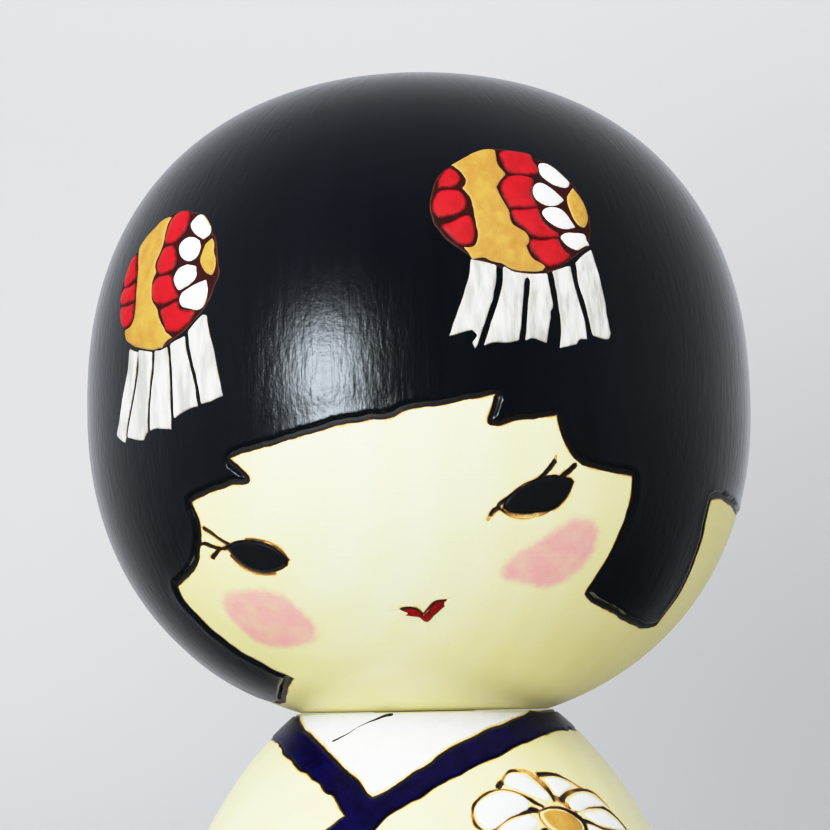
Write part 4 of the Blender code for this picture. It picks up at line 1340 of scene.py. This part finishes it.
def make_stage():
    """A pale floor that sweeps up into a backdrop behind the doll."""
    half_width, front, wall, height, bend, steps = 2.4, -2.4, 1.1, 1.6, 0.4, 16
    outline = [(front, 0.0), (wall - bend, 0.0)]
    outline += [(wall - bend + bend * math.sin(a), bend - bend * math.cos(a))
                for a in np.linspace(0, math.pi / 2, steps)[1:]]
    outline.append((wall, height))
    points = [(x, y, z) for y, z in outline for x in (-half_width, half_width)]
    faces = [(2 * i, 2 * i + 1, 2 * i + 3, 2 * i + 2) for i in range(len(outline) - 1)]
    mesh = bpy.data.meshes.new("backdrop")
    mesh.from_pydata(points, [], faces)
    mesh.shade_smooth()
    backdrop = bpy.data.objects.new("backdrop", mesh)
    bpy.context.scene.collection.objects.link(backdrop)
    # the darker spot low on the right of the backdrop is a painted shadow of the doll
    mesh.materials.append(stage_look("backdrop", srgb(190, 192, 194), srgb(160, 161, 164), (0.27, 1.0, 0.02)))
    backdrop.visible_glossy = False


def area_light(name, place, aim, size, brightness, colour=(1, 1, 1), mirrored=False):
    """A soft oval lamp that faces a point. Only a mirrored one shows in the varnish."""
    away = Vector(place) - Vector(aim)
    data = bpy.data.lights.new(name, "AREA")
    data.shape = "ELLIPSE"
    data.size, data.size_y = size
    area = math.pi / 4 * size[0] * size[1]
    data.energy, data.color = brightness * math.pi * area, colour
    light = bpy.data.objects.new(name, data)
    light.location = place
    light.rotation_mode = "QUATERNION"
    light.rotation_quaternion = away.to_track_quat("Z", "Y")
    light.visible_camera = False
    light.visible_glossy = mirrored
    bpy.context.scene.collection.objects.link(light)


HEAD_MIDDLE = (0.0, 0.0, 0.108)      # metres, like all places of lamps and the camera


def toward(azimuth, elevation, distance):
    """A place seen from the doll's head in a direction, with azimuth 0 in front of it and 90 to its right."""
    a, e = math.radians(azimuth), math.radians(elevation)
    away = Vector((math.sin(a) * math.cos(e), -math.cos(a) * math.cos(e), math.sin(e)))
    return Vector(HEAD_MIDDLE) + away * distance


def grey(value):
    return value, value, value, 1


# what the varnish mirrors: how far round towards the back, and how bright
MIRRORED_ROOM = ((0.1, 0.003), (0.5, 0.12), (0.72, 0.26), (0.88, 0.52), (1.0, 0.95))
MIRRORED_TINT = (0.95, 1.0, 1.08)
MIRRORED_FLOOR = grey(0.02)
FILL_ROUND = grey(0.62)
FILL_FRONT = grey(1.86)
HORIZON = (0.76, 0.78, 0.80, 1)      # what shows past the backdrop's edges


def make_world():
    """What the varnish mirrors is dark behind the camera and pale behind the doll. Matt surfaces get a fill
    that is stronger from the camera's side."""
    world = bpy.data.worlds.new("studio")
    world.use_nodes = True
    sky = Nodes(world.node_tree)
    direction = sky.add("ShaderNodeTexCoord").outputs["Generated"]
    towards = sky.add("ShaderNodeSeparateXYZ", {0: direction}).outputs
    ray = sky.add("ShaderNodeLightPath").outputs
    stops = [(position, (*(value * t for t in MIRRORED_TINT), 1)) for position, value in MIRRORED_ROOM]
    room = sky.ramp(sky.between(towards["Y"], -1, 1, curve="LINEAR"), *stops)
    mirrored = sky.mix(sky.between(towards["Z"], -0.6, 0.1, curve="LINEAR"), MIRRORED_FLOOR, room)
    fill = sky.mix(sky.between(towards["Y"], 0, -1, curve="LINEAR"), FILL_ROUND, FILL_FRONT)
    colour = sky.mix(ray["Is Diffuse Ray"], mirrored, fill)
    colour = sky.mix(ray["Is Camera Ray"], colour, HORIZON)
    background = sky.add("ShaderNodeBackground", {0: colour})
    sky.add("ShaderNodeOutputWorld", {0: background.outputs[0]})
    bpy.context.scene.world = world


WINDOW_SIZE = (0.62, 0.48)
WINDOW_RINGS = ((1.3, 0.6), (1.0, 1.8), (0.8, 3.2), (0.6, 5.5))      # share of the size, brightness
WINDOW_STEP = 0.004         # lamps in one plane would hide each other
WINDOW_COLOUR = (0.83, 0.935, 1.0)
LAMP_DISTANCE = 1.3


def make_lights():
    """A cool oval window to the left, brightest in its middle, a high soft key and a wash on the backdrop."""
    for number, (share, brightness) in enumerate(WINDOW_RINGS):
        size = tuple(side * share for side in WINDOW_SIZE)
        place = toward(-30.2, 6.0, LAMP_DISTANCE + number * WINDOW_STEP)
        area_light(f"window_{number}", place, HEAD_MIDDLE, size, brightness, WINDOW_COLOUR, mirrored=True)
    area_light("key", toward(-38, 32, LAMP_DISTANCE), HEAD_MIDDLE, size=(0.9, 0.7), brightness=8.3)
    area_light("wall_wash", (0.0, 0.62, 0.85), aim=(0.06, 1.1, 0.45), size=(0.56, 0.24), brightness=3.0)
    make_world()


FILM_CURVE = ((0.2, 0.2), (0.4, 0.4), (0.6, 0.6), (0.8, 0.76), (1.0, 0.85), (1.3, 0.93), (1.6, 0.97))
FILM_WHITE = 2              # the brightness at the curve's right end


def make_film():
    """Plain colours whose brightest part rolls off softly, as on film."""
    view = bpy.context.scene.view_settings
    view.view_transform, view.look = "Standard", "None"
    view.use_curve_mapping = True
    mapping = view.curve_mapping
    mapping.white_level = (FILM_WHITE,) * 3
    for brightness, shown in FILM_CURVE:
        mapping.curves[3].points.new(brightness / FILM_WHITE, shown)
    mapping.update()


CAMERA_PLACE = (0.0, -0.300, 0.072)
CAMERA_LENS = 110.27
CAMERA_SENSOR = 36.0
CAMERA_YAW, CAMERA_PITCH, CAMERA_ROLL = np.radians((-0.09, 6.657, -1.159)).tolist()


def make_camera():
    """A long lens in front of the doll, level with its neck, looking a little up and rolled by a degree."""
    data = bpy.data.cameras.new("camera")
    data.lens, data.sensor_width = CAMERA_LENS, CAMERA_SENSOR
    ahead = Vector((math.sin(CAMERA_YAW) * math.cos(CAMERA_PITCH),
                    math.cos(CAMERA_YAW) * math.cos(CAMERA_PITCH),
                    math.sin(CAMERA_PITCH)))
    level = Vector((math.cos(CAMERA_YAW), -math.sin(CAMERA_YAW), 0))
    above = level.cross(ahead)
    right = math.cos(CAMERA_ROLL) * level + math.sin(CAMERA_ROLL) * above
    up = -math.sin(CAMERA_ROLL) * level + math.cos(CAMERA_ROLL) * above
    camera = bpy.data.objects.new("camera", data)
    turn = Matrix((right, up, -ahead)).transposed().to_4x4()
    camera.matrix_world = Matrix.Translation(CAMERA_PLACE) @ turn
    bpy.context.scene.collection.objects.link(camera)
    bpy.context.scene.camera = camera


head_pieces()
body_pieces()
dowel_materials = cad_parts["neck_dowel"].data.materials
dowel_materials.clear()
dowel_materials.append(DOWEL_WOOD)
make_stage()
make_lights()
make_camera()
make_film()
